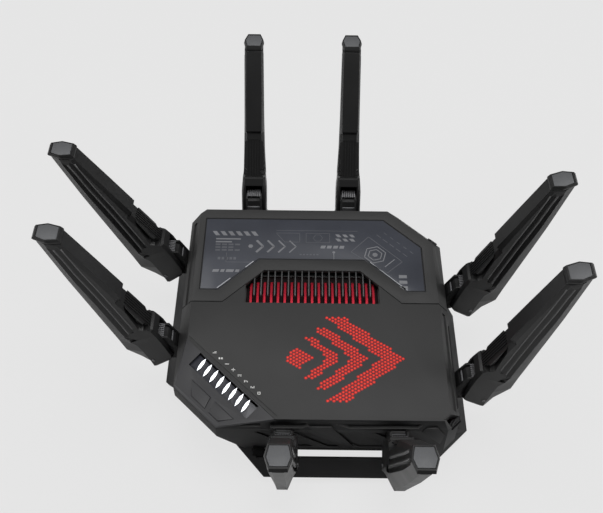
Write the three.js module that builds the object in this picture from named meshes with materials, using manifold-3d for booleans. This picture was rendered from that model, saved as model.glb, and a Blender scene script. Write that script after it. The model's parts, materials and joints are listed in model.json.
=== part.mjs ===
// Wireless router with eight fold-out antennas: an eight-sided slab on a flared stand,
// four pairs of hinged antennas, a glazed rear cover, a red heat sink behind louvres
// and a lit control corner.
// Units are millimetres. +Z is up and the front of the router faces -Y. The pieces are drawn
// around the middle of the housing, and the last step moves the origin under the middle of
// the whole outline, on the surface that the feet stand on.

import * as THREE from 'three';
import { mergeVertices } from 'three/addons/utils/BufferGeometryUtils.js';
import Module from 'manifold-3d';

const wasm = await Module();
wasm.setup();

// ---------------------------------------------------------------- driving dimensions

const clearance = 0.3;            // gap left between pieces that seat on each other
const overcut = 1;                // how far a cutting tool runs past the face it opens
const beyond = 200;               // reach of a tool that runs past the whole housing

// Heights above the desk
const footHeight = 3;             // rubber feet
const skirtLip = 4;               // lower edge of the stand's flared skirt
const skirtEdge = 8;              // level at which the skirt is widest
const slotSill = 21.2;            // lower edge of the see-through slots in the skirt
const slotHead = 28.2;            // upper edge of those slots
const slabBottom = 31;            // underside of the overhanging slab
const shoulder = 63;              // top of the side walls, where the bevelled covers start
const deckTop = 74.4;             // flat top

// Eight-sided outlines: half width, half depth, and the legs of the 45 degree corner cuts.
// The big cuts are at the front left and rear right, the small ones at the other two corners.
const slabOutline = { halfX: 118, halfY: 116, bigCut: 38, smallCut: 10.5 };
const bevelRunX = 9;              // the flat top stays this far inside the slab at the sides
const bevelRunY = 2.5;            // and this far at the front and the rear
const bevelBigCut = 1.5;          // its big corner cuts are larger by this, its small ones smaller
const bevelSmallCut = 5;
const deckOutline = {
  halfX: slabOutline.halfX - bevelRunX,
  halfY: slabOutline.halfY - bevelRunY,
  bigCut: slabOutline.bigCut + bevelBigCut,
  smallCut: slabOutline.smallCut - bevelSmallCut,
};

// Middle of the big corner cuts, along them
const cornerShift = (slabOutline.halfY - slabOutline.halfX) / Math.SQRT2;

const skirtOutline = { halfX: 134, halfY: 131, bigCut: 92, smallCut: 46 };
const skirtTopOutline = { halfX: 114, halfY: 114, bigCut: 50, smallCut: 12 };
const tubOutline = { halfX: 96, halfY: 96, bigCut: 44, smallCut: 14 };

// Walls
const housingWall = 2.4;
const coverWall = 3.4;
const skirtWall = 3;
const tubWall = 2.2;
const skirtTopWall = 3.8;         // thickness of the skirt's upper edge
const flangeThickness = 2.4;
const flangeGap = 7.2;            // between the tray's flange and the skirt around it

// Stand and tray
const skirtTuck = 2;              // how far the skirt's lower lip turns back in
const slotFromBigCorner = 48;     // slot ends, measured along a side from its middle
const slotFromSmallCorner = 90;
const slotRake = 4;               // each slot is this much longer at its head, at both ends
const endPost = 4;                // width of the posts that end the stand's halves at the big corners
const trayBevel = 6;
const trayBevelRise = 6;
const trayVentCount = 9;
const trayVentPitch = 12;
const trayVentWidth = 5;
const trayVentLength = 90;
const floorMargin = 16;           // ledge of the slab's floor inside the tray's walls
const footInset = 26;
const footLength = 34;
const footWidth = 12;
const footTread = 0.6;

// Posts that carry the covers
const postRadius = 4;
const postReach = 99;             // distance of the posts from the middle of the router
const postNearCut = 44;           // second coordinate of the post beside the rear right corner
const postBehindFacet = [88, 48]; // coordinates of the two posts behind the control corner
const postBehindPanel = 78;       // second coordinate of the post in front of the rear sockets

// Control corner: a sloping facet cut across the front left corner.
// "Diagonal" distances run from the centre line of the router out towards that corner.
const facetRun = 35.7;            // from the facet's upper edge out to the cut face of the slab
const facetDrop = 9.4;            // fall of the facet from its upper to its lower edge
const facetPlate = 1.6;
const facetLedge = 0.7;
const facetLedgeDepth = 3;
const facetLedgeHalf = 33;
const facetLedgeBack = 2;
const lightCount = 8;
const lightPitch = 7.86;
const lightShift = 5;             // middle of the row of lights along the facet, from its middle
const lightLength = 12.4;
const lightWidth = 2.8;
const lightSkew = 2;
const lightSink = 0.4;
const troughStart = 1.2;          // down the slope from the facet's upper edge
const troughEnd = 15.2;
const troughHalf = 36;
const stripThickness = 1.6;
const keyMargin = 4.7;            // from the facet's lower edge up to the two keys
const keyDepth = 9.5;             // size of the keys down the slope
const modeKeyEnds = { upper: [-18.6, 5], lower: [-8.1, 8.3] };   // along the facet, from its middle
const linkKeyEnds = { upper: [10.6, 33.2], lower: [13.8, 24.6] };
const keyRise = 0.5;              // how far the keys stand proud of the facet
const keyTravel = 1.2;
const keyFlange = 1;
const keyFlangeThickness = 1.2;
const switchHeight = 3;
const switchSide = 5;
const keyBoardThickness = 1.6;
const keyBoardMargin = 1.8;       // how far the board under the keys runs past their inner ends
const bossRadius = 1.2;

// Undercut below the control corner
const undercutRun = 15.1;         // from the start of the undercut out to the cut face of the slab
const undercutSlope = 1.26;       // rise for each millimetre outwards

// Relief on the walls and bevels
const reliefDepth = 1.1;
const reliefLean = 30;            // slant of the bands on the front wall
const reliefLow = 35;
const reliefHigh = 58;
const reliefFields = [[-34, -16], [-4, 10], [22, 52], [64, 78]];   // ends of each at half height
const bevelSlotDepth = 1.6;
const bevelSlotWidth = 5;
const bevelSlotLength = 98;
const rightSlotEnd = 3;           // rear end of the right groove, in front of the middle
const leftSlotEnd = 100;          // rear end of the left groove, behind the middle

// Rear cover, its glazed panel and the louvred opening in front of it
const seamY = 3.8;                // front edge of the rear cover at the sides
const ventFrontY = 3.2;
const ventRearY = 39.5;
const ventLeftX = -62;
const ventRightX = 57;
const ventCorner = 15.8;          // legs of the slanted rear corners of the opening
const seamRun = 19.6;             // legs of the slanted stretches of the seam
const panelMarginLeft = 5.5;      // from the edges of the flat top to the panel
const panelMarginRight = 10;
const panelMarginRear = 11;
const panelFront = 16.5;
const panelCorner = 34;           // legs of the panel's cut rear right corner
const panelBayGap = 12.5;         // from the opening's rear edge to the panel
const panelBaySide = 4.8;         // the bay is this much wider than the opening's rear edge
const panelThickness = 1.5;
const panelSink = 0.2;            // panel surface below the flat top
const grilleBorder = 3;
const grilleFrame = 2;
const louvreWidth = 1.8;
const louvreHeight = 4;
const louvreBarY = 15;
const louvreBarWidth = 2.4;
const louvreSink = 0.4;            // louvres below the top of their frame
const finPitch = 6.1;
const finCount = 19;
const finThickness = 1.8;
const finTop = 63;
const finBase = 3;
const finMargin = 4;

// Round key on the bevel of the rear right corner
const roundKeyRadius = 5;
const roundKeyAlong = -20.6;      // along the corner cut, from its middle
const roundKeyRise = 1.6;
const roundKeyDown = 6;           // down the bevel from the flat top

// Electronics
const boardThickness = 1.6;
const boardHalf = 92;
const boardFront = -62;
const boardRear = 104;
const shieldHeight = 3;
const shieldWall = 0.9;
const shieldInset = 8;            // inside the ends of the louvred opening
const jackWidth = 15.8;
const jackPitch = 16.4;
const jackHeight = 13.3;
const jackDepth = 21;
const jackMouthWidth = 11.8;
const jackMouthHeight = 8;
const jackMouthDepth = 14;
const jackMouthLow = 2.4;         // lower edge of the mouth above the underside of the jack
const jackFromHinge = 1;          // from the cheeks of a rear antenna to the jacks beside it
const usbFromHinge = 5;
const usbWidth = 14.2;
const usbHeight = 15.6;
const usbDepth = 17.5;
const usbMouthWidth = 12.4;
const usbMouthHeight = 5.2;
const dcWidth = 9;
const dcHeight = 11;
const dcDepth = 13;
const dcMouthRadius = 3.1;
const dcPinRadius = 1;
const diffuserThickness = 2;
const diffuserMargin = 9.5;       // from the front edge of the flat top
const diffuserLeft = -34;
const diffuserRight = 80;
const diffuserRear = -10;
const diffuserCorner = 14;

// Antenna hinges: the same bracket eight times, two to a side
const endHingeReach = 17.5;       // hinge axes from the front and rear walls
const sideHingeReach = 15.5;      // and from the side walls
const hingeHeight = 67;
const endPairSpacing = 91.6;      // between the two antennas of the front or the rear pair
const sidePairSpacing = 94.4;     // between the two antennas of the left or the right pair
const frontPairShift = 20.5;      // the front pair sits this far right of the middle,
const rearPairShift = 13.4;       // the rear pair this far left,
const leftPairShift = 17;         // the left pair this far back
const rightPairShift = 20.3;      // and the right pair this far forward
const barrelRadius = 10.6;
const armWidth = 15.2;
const forkSlot = 16;              // gap between the antenna's cheeks
const pinRadius = 2.5;
const pinLength = 21;
const tenonLow = -19;             // tenon through the side wall, measured from the hinge axis
const tenonHigh = -7;
const tenonEnd = 3;               // how far the tenon reaches inside the wall

// Rest angle of each antenna in degrees, outwards from upright
const restTilt = {
  front_left: 29, front_right: 29, right_front: 19.5, right_rear: 21.5,
  rear_right: 34, rear_left: 34, left_rear: 29, left_front: 26,
};

// Antenna blade, measured from the hinge axis: "out" away from the router, "up" along it
const bladeWall = 1.8;
const footTipOut = 21;
const footTipUp = -25.5;
const footHeelOut = -1.5;
const footHeelUp = -21;
const kneeOut = 33.2;
const kneeUp = 1;
const footHalf = 10.9;            // half thickness of the foot with the two cheeks
const footBevel = 1.6;
const footTopUp = 30;
const bladeHalf = 8.9;
const bladeLowIn = -7;
const bladeHighIn = -11;
const stepUp = 79;                // level at which the inner edge steps out
const neckUp = 138.5;
const neckOut = 16.6;
const neckHalf = 8.2;
const creaseDepth = 1.1;
const creaseHeight = 2.4;
const headUp = 152.4;             // middle of the head's end face, which slopes down inwards
const headSlope = 0.68;
const headHalf = 9.2;
const headIn = -9.4;
const headOut = 15.4;
const headRound = 0.8;
const capHalf = 6.6;
const capIn = -5.6;
const capOut = 11.4;
const capRecess = 3.6;

// Sections across an antenna: the widths of the slanted strips beside its two edges,
// and the half widths of the edges themselves
const bladeSection = { outerStrip: 7.5, innerStrip: 6, outerHalf: 4.2, innerHalf: 4.4 };
const neckSection = { outerStrip: 7, innerStrip: 5.6, outerHalf: 3.8, innerHalf: 4 };
const headSection = { outerStrip: 10, innerStrip: 9, outerHalf: 6.2, innerHalf: 7.2 };
const capSection = { outerStrip: 7.4, innerStrip: 7, outerHalf: 4.8, innerHalf: 5.2 };

// Gap between the cheeks, around the bracket: its top, its outer side and the mouth below
const forkTop = 13.5;
const forkTopOut = 5;
const forkOut = 11.6;
const forkBendHigh = 6.5;
const forkBendLow = -6;
const forkMouthOut = 8;
const forkMouthUp = -12;
const forkMouthWiden = 4;

// ---------------------------------------------------------------- shared shape tools

/** Merged, closed three.js geometry as a solid for joining and cutting. */
function solid(geometry) {
  const bare = geometry.clone();
  bare.deleteAttribute('normal');
  bare.deleteAttribute('uv');
  const merged = mergeVertices(bare, 1e-4);
  return new wasm.Manifold(new wasm.Mesh({
    numProp: 3,
    vertProperties: new Float32Array(merged.attributes.position.array),
    triVerts: new Uint32Array(merged.index.array),
  }));
}

function geometryOf(body) {
  const mesh = body.getMesh();
  const geometry = new THREE.BufferGeometry();
  geometry.setAttribute('position', new THREE.BufferAttribute(new Float32Array(mesh.vertProperties), 3));
  geometry.setIndex(new THREE.BufferAttribute(new Uint32Array(mesh.triVerts), 1));
  geometry.computeVertexNormals();
  return geometry;
}

const joined = (bodies) => bodies.reduce((whole, next) => whole.add(next));
const cut = (body, tools) => tools.reduce((left, tool) => left.subtract(tool), body);

function block(minX, maxX, minY, maxY, minZ, maxZ) {
  const geometry = new THREE.BoxGeometry(maxX - minX, maxY - minY, maxZ - minZ);
  geometry.translate((minX + maxX) / 2, (minY + maxY) / 2, (minZ + maxZ) / 2);
  return geometry;
}

/** Upright prism over a plan outline, from one height to another. */
function prism(points, low, high) {
  const shape = new THREE.Shape(points.map(([x, y]) => new THREE.Vector2(x, y)));
  const geometry = new THREE.ExtrudeGeometry(shape, { depth: high - low, bevelEnabled: false });
  geometry.translate(0, 0, low);
  return geometry;
}

/** Closed skin through rings of equally many points [x, y, z]; the end rings are convex. */
function loft(rings) {
  const count = rings[0].length;
  const faces = [];
  for (let ring = 0; ring < rings.length - 1; ring++) {
    for (let i = 0; i < count; i++) {
      const a = ring * count + i;
      const b = ring * count + ((i + 1) % count);
      faces.push(a, b, b + count, a, b + count, a + count);
    }
  }
  const last = (rings.length - 1) * count;
  for (let i = 1; i < count - 1; i++) {
    faces.push(0, i + 1, i, last, last + i, last + i + 1);
  }
  const geometry = new THREE.BufferGeometry();
  geometry.setAttribute('position', new THREE.BufferAttribute(new Float32Array(rings.flat(2)), 3));
  geometry.setIndex(faces);
  return geometry;
}

/** Eight-sided outline, counterclockwise from the front left corner, moved in by an inset. */
function octagon({ halfX, halfY, bigCut, smallCut }, inset = 0) {
  const x = halfX - inset;
  const y = halfY - inset;
  const shrink = inset * (2 - Math.SQRT2);
  const big = bigCut - shrink;
  const small = smallCut - shrink;
  return [
    [-x + big, -y], [x - small, -y], [x, -y + small], [x, y - big],
    [x - big, y], [-x + small, y], [-x, y - small], [-x, -y + big],
  ];
}

const ringAt = (outline, height, inset = 0) => octagon(outline, inset).map(([x, y]) => [x, y, height]);

/** Diagonal distance of an outline's big corner cut. */
const cornerReach = ({ halfX, halfY, bigCut }) => (halfX + halfY - bigCut) / Math.SQRT2;

/** Cylinder along X, Y or Z. */
function rod(radius, length, axis, sides = 20) {
  const geometry = new THREE.CylinderGeometry(radius, radius, length, sides);
  if (axis === 'x') geometry.rotateZ(Math.PI / 2);
  if (axis === 'z') geometry.rotateX(Math.PI / 2);
  return geometry;
}

const cornerTurn = { frontLeft: -135, frontRight: -45, rearRight: 45, rearLeft: 135 };

/** Prism that runs across a corner, its section drawn in diagonal distance and height. */
function cornerPrism(section, halfLength, corner) {
  const shape = new THREE.Shape(section.map(([s, z]) => new THREE.Vector2(s, z)));
  const geometry = new THREE.ExtrudeGeometry(shape, { depth: 2 * halfLength, bevelEnabled: false });
  geometry.translate(0, 0, -halfLength - cornerShift);
  geometry.rotateX(Math.PI / 2);
  geometry.rotateZ(THREE.MathUtils.degToRad(cornerTurn[corner]));
  return geometry;
}

/** Prism through a wall that faces -Y, its section drawn in X and Z. */
function wallPrism(section, nearY, farY) {
  const shape = new THREE.Shape(section.map(([x, z]) => new THREE.Vector2(x, z)));
  const geometry = new THREE.ExtrudeGeometry(shape, { depth: farY - nearY, bevelEnabled: false });
  geometry.rotateX(Math.PI / 2);
  geometry.translate(0, farY, 0);
  return geometry;
}

// ---------------------------------------------------------------- materials

function finish(color, roughness, metalness = 0) {
  return new THREE.MeshStandardMaterial({ color, roughness, metalness });
}

const blackPlastic = finish(0x2b2b2c, 0.5);
const deckPlastic = finish(0x3f4040, 0.6);
const antennaPlastic = finish(0x242425, 0.45);
const capMetal = finish(0x8c8d90, 0.35, 0.8);
const smokedAcrylic = finish(0x3e4046, 0.12);
const redMetal = finish(0xb0182c, 0.35, 0.6);
const whiteLight = finish(0xf4f6ff, 0.4);
const redLight = finish(0xff3b28, 0.5);
const rubber = finish(0x1a1a1a, 0.9);
const steel = finish(0xb4b6b8, 0.3, 0.9);
const boardGreen = finish(0x18402a, 0.6);
const portShell = finish(0x9a9c9e, 0.35, 0.8);

const router = new THREE.Group();

function add(name, geometry, material, parent = router) {
  const mesh = new THREE.Mesh(geometry, material);
  mesh.name = name;
  parent.add(mesh);
  return mesh;
}

// ---------------------------------------------------------------- hinge stations

const wallY = slabOutline.halfY;
const ends = { spacing: endPairSpacing, wallAt: slabOutline.halfY, hingeReach: endHingeReach };
const flanks = { spacing: sidePairSpacing, wallAt: slabOutline.halfX, hingeReach: sideHingeReach };
const sides = [
  { names: ['front_left', 'front_right'], turn: 0, middle: frontPairShift, ...ends },
  { names: ['right_front', 'right_rear'], turn: 90, middle: -rightPairShift, ...flanks },
  { names: ['rear_right', 'rear_left'], turn: 180, middle: rearPairShift, ...ends },
  { names: ['left_rear', 'left_front'], turn: -90, middle: -leftPairShift, ...flanks },
];
const stations = sides.flatMap(({ names, middle, spacing, ...side }) => names.map((name, i) => (
  { name, ...side, along: middle + (i - 0.5) * spacing, tilt: restTilt[name] })));

/** Turns a geometry drawn for the front side, with its hinge at the origin, to its station. */
function toStation(geometry, { turn, along, wallAt, hingeReach }) {
  geometry.translate(along, -wallAt - hingeReach, hingeHeight);
  geometry.rotateZ(THREE.MathUtils.degToRad(turn));
  return geometry;
}

/** Group at a hinge station, so that a piece can be drawn around the hinge axis. */
function stationGroup({ turn, along, wallAt, hingeReach }) {
  const side = new THREE.Group();
  side.rotation.z = THREE.MathUtils.degToRad(turn);
  const hinge = new THREE.Group();
  hinge.position.set(along, -wallAt - hingeReach, hingeHeight);
  side.add(hinge);
  router.add(side);
  return hinge;
}

// ---------------------------------------------------------------- lower housing

const boardLow = slabBottom + housingWall + clearance;
const boardTop = boardLow + boardThickness;
const jackLow = boardTop + clearance;
const rearMiddle = -rearPairShift;
const rearRightHinge = rearMiddle + endPairSpacing / 2;
const rearLeftHinge = rearMiddle - endPairSpacing / 2;
const besideHinge = footHalf + jackWidth / 2 + jackFromHinge;
const jackCentres = [
  ...[-1.5, -0.5, 0.5, 1.5].map((step) => rearMiddle + step * jackPitch),
  ...[0, 1].map((step) => rearRightHinge + besideHinge + step * jackPitch),
];
const usbX = rearLeftHinge - footHalf - usbWidth / 2 - usbFromHinge;

// Inlet, reset key and power button share the cut face of the rear right corner
const cutFace = cornerReach(slabOutline);
const dcAlong = 10.9;             // along the cut face, from its middle
const dcMiddle = jackLow + dcHeight / 2;
const resetAlong = -1.6;
const resetHeight = 42;
const resetRadius = 1.6;
const powerAlong = -13.6;
const powerHeight = 46;
const powerRadius = 4.8;
const powerRise = 3;

/** Geometry drawn facing +X around the origin, moved onto the rear right cut face. */
function toCutFace(geometry, along, height) {
  geometry.translate(cutFace, cornerShift + along, height);
  geometry.rotateZ(Math.PI / 4);
  return geometry;
}

/** Region under the sloping undercut of the control corner. */
function undercut(grow) {
  const start = cornerReach(slabOutline) - undercutRun + grow;
  const below = slabBottom / 2;
  return solid(cornerPrism([
    [start - below / undercutSlope, slabBottom - below],
    [start + beyond, slabBottom - below],
    [start + beyond, slabBottom + beyond * undercutSlope],
  ], beyond, 'frontLeft'));
}

/** Slanted sunk fields on the front wall, with raised bands left between them. */
function frontRelief() {
  return reliefFields.map(([from, to]) => solid(wallPrism([
    [from + reliefLean * 0.5, reliefLow], [to + reliefLean * 0.5, reliefLow],
    [to - reliefLean * 0.5, reliefHigh], [from - reliefLean * 0.5, reliefHigh],
  ], -wallY - overcut, -wallY + reliefDepth)));
}

const postPlaces = [
  [postReach, -postReach], [-postReach, postBehindPanel],
  [postReach, postNearCut], postBehindFacet.map((x) => -x), postBehindFacet.map((x) => -x).reverse(),
];

function rearWallHole(middle, width, height) {
  return solid(block(
    middle - width / 2 - clearance, middle + width / 2 + clearance,
    wallY - housingWall - overcut, wallY + overcut,
    jackLow - clearance, jackLow + height + clearance,
  ));
}

function lowerHousing() {
  const outside = cut(
    solid(loft([ringAt(slabOutline, slabBottom), ringAt(slabOutline, shoulder)])), [undercut(0)]);
  const inside = cut(
    solid(loft([
      ringAt(slabOutline, slabBottom + housingWall, housingWall),
      ringAt(slabOutline, shoulder + overcut, housingWall),
    ])),
    [undercut(-housingWall * 1.3)],
  );
  const floorHole = solid(prism(
    octagon(tubOutline, floorMargin), slabBottom - overcut, slabBottom + housingWall + overcut));
  const tenonHoles = stations.map((station) => solid(toStation(block(
    -armWidth / 2 - clearance, armWidth / 2 + clearance,
    station.hingeReach - overcut, station.hingeReach + housingWall + overcut,
    tenonLow - clearance, tenonHigh + clearance,
  ), station)));
  const dcHole = block(-housingWall - overcut, overcut,
    -dcWidth / 2 - clearance, dcWidth / 2 + clearance,
    -dcHeight / 2 - clearance, dcHeight / 2 + clearance);
  const posts = postPlaces.map(([x, y]) => {
    const top = deckTop - coverWall - clearance;
    const bottom = slabBottom + housingWall / 2;
    return solid(rod(postRadius, top - bottom, 'z', 12).translate(x, y, (top + bottom) / 2));
  });
  return geometryOf(joined([
    cut(outside, [
      inside, floorHole, ...tenonHoles,
      ...jackCentres.map((x) => rearWallHole(x, jackWidth, jackHeight)),
      rearWallHole(usbX, usbWidth, usbHeight),
      solid(toCutFace(dcHole, dcAlong, dcMiddle)),
      solid(toCutFace(rod(resetRadius + clearance, 2 * housingWall + 2, 'x', 12), resetAlong, resetHeight)),
      solid(toCutFace(rod(powerRadius + clearance, 2 * housingWall + 2, 'x', 20), powerAlong, powerHeight)),
      ...frontRelief(),
    ]),
    ...posts,
  ]));
}

// ---------------------------------------------------------------- stand, tray and feet

/** Flared skirt around the underside, with a see-through slot along each side. */
function wholeSkirt() {
  const top = slabBottom - clearance;
  const outside = solid(loft([
    ringAt(skirtOutline, skirtLip, skirtTuck), ringAt(skirtOutline, skirtEdge), ringAt(skirtTopOutline, top),
  ]));
  const inside = solid(loft([
    ringAt(skirtOutline, skirtLip - overcut, skirtTuck + skirtWall),
    ringAt(skirtOutline, skirtEdge, skirtWall),
    ringAt(skirtTopOutline, top + overcut, skirtTopWall),
  ]));
  const slots = [0, 90, 180, -90].map((turn) => {
    const [low, high] = turn % 180 === 0
      ? [-slotFromBigCorner, slotFromSmallCorner]
      : [-slotFromSmallCorner, slotFromBigCorner];
    const tool = wallPrism([
      [low, slotSill], [high, slotSill], [high + slotRake, slotHead], [low - slotRake, slotHead],
    ], -skirtOutline.halfY, -skirtTopOutline.halfY + 2 * skirtWall);
    return solid(tool.rotateZ(THREE.MathUtils.degToRad(turn)));
  });
  return cut(outside, [inside, ...slots]);
}

/** Region left open under a big corner, between the end posts of the two halves. */
function cornerOpening(turn) {
  const halfWidth = ({ halfX, halfY, bigCut }) => (bigCut + Math.abs(halfX - halfY) / 2) / Math.SQRT2;
  const low = halfWidth(skirtOutline) - endPost;
  const high = halfWidth(skirtTopOutline) - endPost;
  const reach = cornerReach(skirtOutline);
  const tool = wallPrism([
    [-low, 0], [low, 0], [low, skirtEdge], [high, slabBottom], [high, slabBottom + overcut],
    [-high, slabBottom + overcut], [-high, slabBottom], [-low, skirtEdge],
  ], -reach - 10, -reach + 14);
  return solid(tool.rotateZ(THREE.MathUtils.degToRad(turn)));
}

/** Half of the stand: the front and right sides (1) or the rear and left sides (-1). */
function standHalf(side) {
  const opened = cut(wholeSkirt(), [cornerOpening(-45), cornerOpening(135)]);
  const reach = beyond * side;
  const half = solid(prism([[-reach, -reach], [reach, -reach], [reach, reach]], 0, slabBottom));
  return geometryOf(opened.intersect(half));
}

const trayBottom = footHeight + clearance;
const trayTop = slabBottom - clearance;

/** Tub under the slab that holds the lower air space, with vents in its floor. */
function bottomTray() {
  const tub = solid(loft([
    ringAt(tubOutline, trayBottom, trayBevel), ringAt(tubOutline, trayBottom + trayBevelRise),
    ringAt(tubOutline, trayTop),
  ]));
  const flangeRing = octagon(skirtTopOutline, skirtTopWall + flangeGap);
  const flange = solid(prism(flangeRing, trayTop - flangeThickness, trayTop));
  const inside = solid(loft([
    ringAt(tubOutline, trayBottom + tubWall, trayBevel + tubWall),
    ringAt(tubOutline, trayBottom + trayBevelRise + tubWall / 2, tubWall),
    ringAt(tubOutline, trayTop + overcut, tubWall),
  ]));
  const vents = Array.from({ length: trayVentCount }, (_, i) => {
    const x = (i - (trayVentCount - 1) / 2) * trayVentPitch;
    return solid(block(x - trayVentWidth / 2, x + trayVentWidth / 2, -trayVentLength / 2, trayVentLength / 2,
      trayBottom - overcut, trayBottom + tubWall + overcut));
  });
  return geometryOf(cut(tub.add(flange), [inside, ...vents]));
}

/** Rubber pad with a rounded-off tread, under one corner of the tray. */
function footPad(signX, signY) {
  const reach = tubOutline.halfX - footInset;
  const level = (height, inset) => {
    const halfX = footLength / 2 - inset;
    const halfY = footWidth / 2 - inset;
    const corners = [[-halfX, -halfY], [halfX, -halfY], [halfX, halfY], [-halfX, halfY]];
    return corners.map(([x, y]) => [signX * reach + x, signY * reach + y, height]);
  };
  return loft([level(0, footTread), level(footTread, 0), level(footHeight, 0)]);
}

add('lower_housing', lowerHousing(), blackPlastic);
add('stand_front_right', standHalf(1), blackPlastic);
add('stand_rear_left', standHalf(-1), blackPlastic);
add('bottom_tray', bottomTray(), blackPlastic);
add('foot_front_left', footPad(-1, -1), rubber);
add('foot_front_right', footPad(1, -1), rubber);
add('foot_rear_right', footPad(1, 1), rubber);
add('foot_rear_left', footPad(-1, 1), rubber);

// ---------------------------------------------------------------- covers

const coverBottom = shoulder + clearance;
const deckUnder = deckTop - coverWall;
const facetInner = cornerReach(slabOutline) - facetRun;
const facetAngle = Math.atan2(facetDrop, facetRun);
const keyBottom = Math.hypot(facetRun, facetDrop) - keyMargin;
const keyTop = keyBottom - keyDepth;
const facetAt = (s) => deckTop - (s - facetInner) * Math.tan(facetAngle);

/** Outside of both covers together: the bevelled lid over the whole slab. */
const lidOutside = () => solid(loft([ringAt(slabOutline, coverBottom), ringAt(deckOutline, deckTop)]));

function lid() {
  return lidOutside().subtract(solid(loft([
    ringAt(slabOutline, coverBottom - overcut, coverWall),
    ringAt(slabOutline, coverBottom, coverWall),
    ringAt(deckOutline, deckUnder, coverWall),
  ])));
}

const ventOutline = (grow = 0) => {
  const slant = grow * (2 - Math.SQRT2);
  const left = ventLeftX - grow;
  const right = ventRightX + grow;
  const rear = ventRearY + grow;
  const leg = ventCorner + slant;
  return [
    [left, ventFrontY - grow], [right, ventFrontY - grow],
    [right, rear - leg], [right - leg, rear], [left + leg, rear], [left, rear - leg],
  ];
};

/** Everything in front of the seam between the two covers. */
function frontRegion(shift) {
  const reach = beyond;
  const y = seamY - shift;
  const corner = ventRearY - ventCorner - shift;
  return solid(prism([
    [-reach, -reach], [reach, -reach], [reach, y], [ventRightX + seamRun, y],
    [ventRightX, corner], [ventLeftX, corner], [ventLeftX - seamRun, y], [-reach, y],
  ], 0, deckTop + 10));
}

const facetEnd = facetInner + 2 * facetRun;
const lightRow = cornerShift + lightShift;

const facetTool = (s, depth) => solid(cornerPrism([
  [s, facetAt(s) - depth], [facetEnd, facetAt(facetEnd) - depth], [facetEnd, deckTop + facetRun],
  [s, deckTop + facetRun],
], beyond, 'frontLeft'));

/** Frame of the facet: X down the slope, Y along it towards the front, Z outwards. */
function facetMatrix() {
  const outward = new THREE.Vector3(-Math.SQRT1_2, -Math.SQRT1_2, 0);
  const down = outward.clone().multiplyScalar(Math.cos(facetAngle));
  down.z = -Math.sin(facetAngle);
  const along = new THREE.Vector3(Math.SQRT1_2, -Math.SQRT1_2, 0);
  const normal = outward.clone().multiplyScalar(Math.sin(facetAngle));
  normal.z = Math.cos(facetAngle);
  const place = outward.clone().multiplyScalar(facetInner);
  return new THREE.Matrix4().makeBasis(down, along, normal).setPosition(place.x, place.y, deckTop);
}

const keyShape = ({ upper, lower }) => [
  [keyTop, cornerShift + upper[0]], [keyTop, cornerShift + upper[1]],
  [keyBottom, cornerShift + lower[1]], [keyBottom, cornerShift + lower[0]],
];
const keyShapes = { mode_key: keyShape(modeKeyEnds), link_key: keyShape(linkKeyEnds) };

/** Key outline grown or shrunk about its own middle by a margin. */
function keyOutline(points, margin) {
  const mean = (axis) => points.reduce((sum, point) => sum + point[axis], 0) / points.length;
  const [middleX, middleY] = [mean(0), mean(1)];
  return points.map(([x, y]) => [x + Math.sign(x - middleX) * margin, y + Math.sign(y - middleY) * margin]);
}

/** Long groove in the bevel of the right (1) or left (-1) side. */
function bevelSlot(side) {
  const lean = Math.atan2(deckTop - coverBottom, slabOutline.halfX - deckOutline.halfX);
  const tool = block(-bevelSlotWidth / 2, bevelSlotWidth / 2, 0, bevelSlotLength, -bevelSlotDepth, 6);
  tool.rotateY(lean);
  const middleX = (slabOutline.halfX + deckOutline.halfX) / 2;
  const middleZ = (deckTop + coverBottom) / 2;
  if (side > 0) return solid(tool.translate(middleX, -bevelSlotLength - rightSlotEnd, middleZ));
  return solid(tool.rotateZ(Math.PI).translate(-middleX, leftSlotEnd, middleZ));
}

function frontDeck() {
  const ledge = lidOutside().intersect(solid(cornerPrism([
    [facetInner - facetLedgeBack, deckUnder - facetLedgeDepth],
    [facetInner + facetLedge, facetAt(facetInner + facetLedge) - facetPlate - clearance - facetLedgeDepth],
    [facetInner + facetLedge, facetAt(facetInner + facetLedge) - facetPlate - clearance],
    [facetInner, facetAt(facetInner) - facetPlate - clearance],
    [facetInner - facetLedgeBack, deckUnder + 1],
  ], facetLedgeHalf, 'frontLeft')));
  const shell = lid().intersect(frontRegion(clearance));
  const guideSpace = block(facetLedge, troughEnd + 4, lightRow - troughHalf - 1, lightRow + troughHalf + 1,
    -12, 0).applyMatrix4(facetMatrix());
  return geometryOf(cut(shell, [
    solid(guideSpace),
    ...Object.values(keyShapes).map((points) => solid(
      prism(keyOutline(points, keyFlange + clearance), -12, 0).applyMatrix4(facetMatrix()))),
    facetTool(facetInner, facetPlate + clearance), solid(prism(ventOutline(), 0, deckTop + 10)), bevelSlot(1),
  ]).add(ledge));
}

const panelOutline = (inset) => {
  const slant = inset * (2 - Math.SQRT2);
  const rear = deckOutline.halfY - panelMarginRear - inset;
  const left = -deckOutline.halfX + panelMarginLeft + inset;
  const right = deckOutline.halfX - panelMarginRight - inset;
  const front = panelFront + inset;
  const bay = ventRearY + panelBayGap + inset;
  const bayLeft = ventLeftX + ventCorner - panelBaySide - slant;
  const bayRight = ventRightX - ventCorner + panelBaySide + slant;
  const run = bay - front;
  const leg = panelCorner - slant;
  return [
    [left, front], [bayLeft - run, front], [bayLeft, bay], [bayRight, bay], [bayRight + run, front],
    [right, front], [right, rear - leg], [right - leg, rear], [left, rear],
  ];
};

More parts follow.
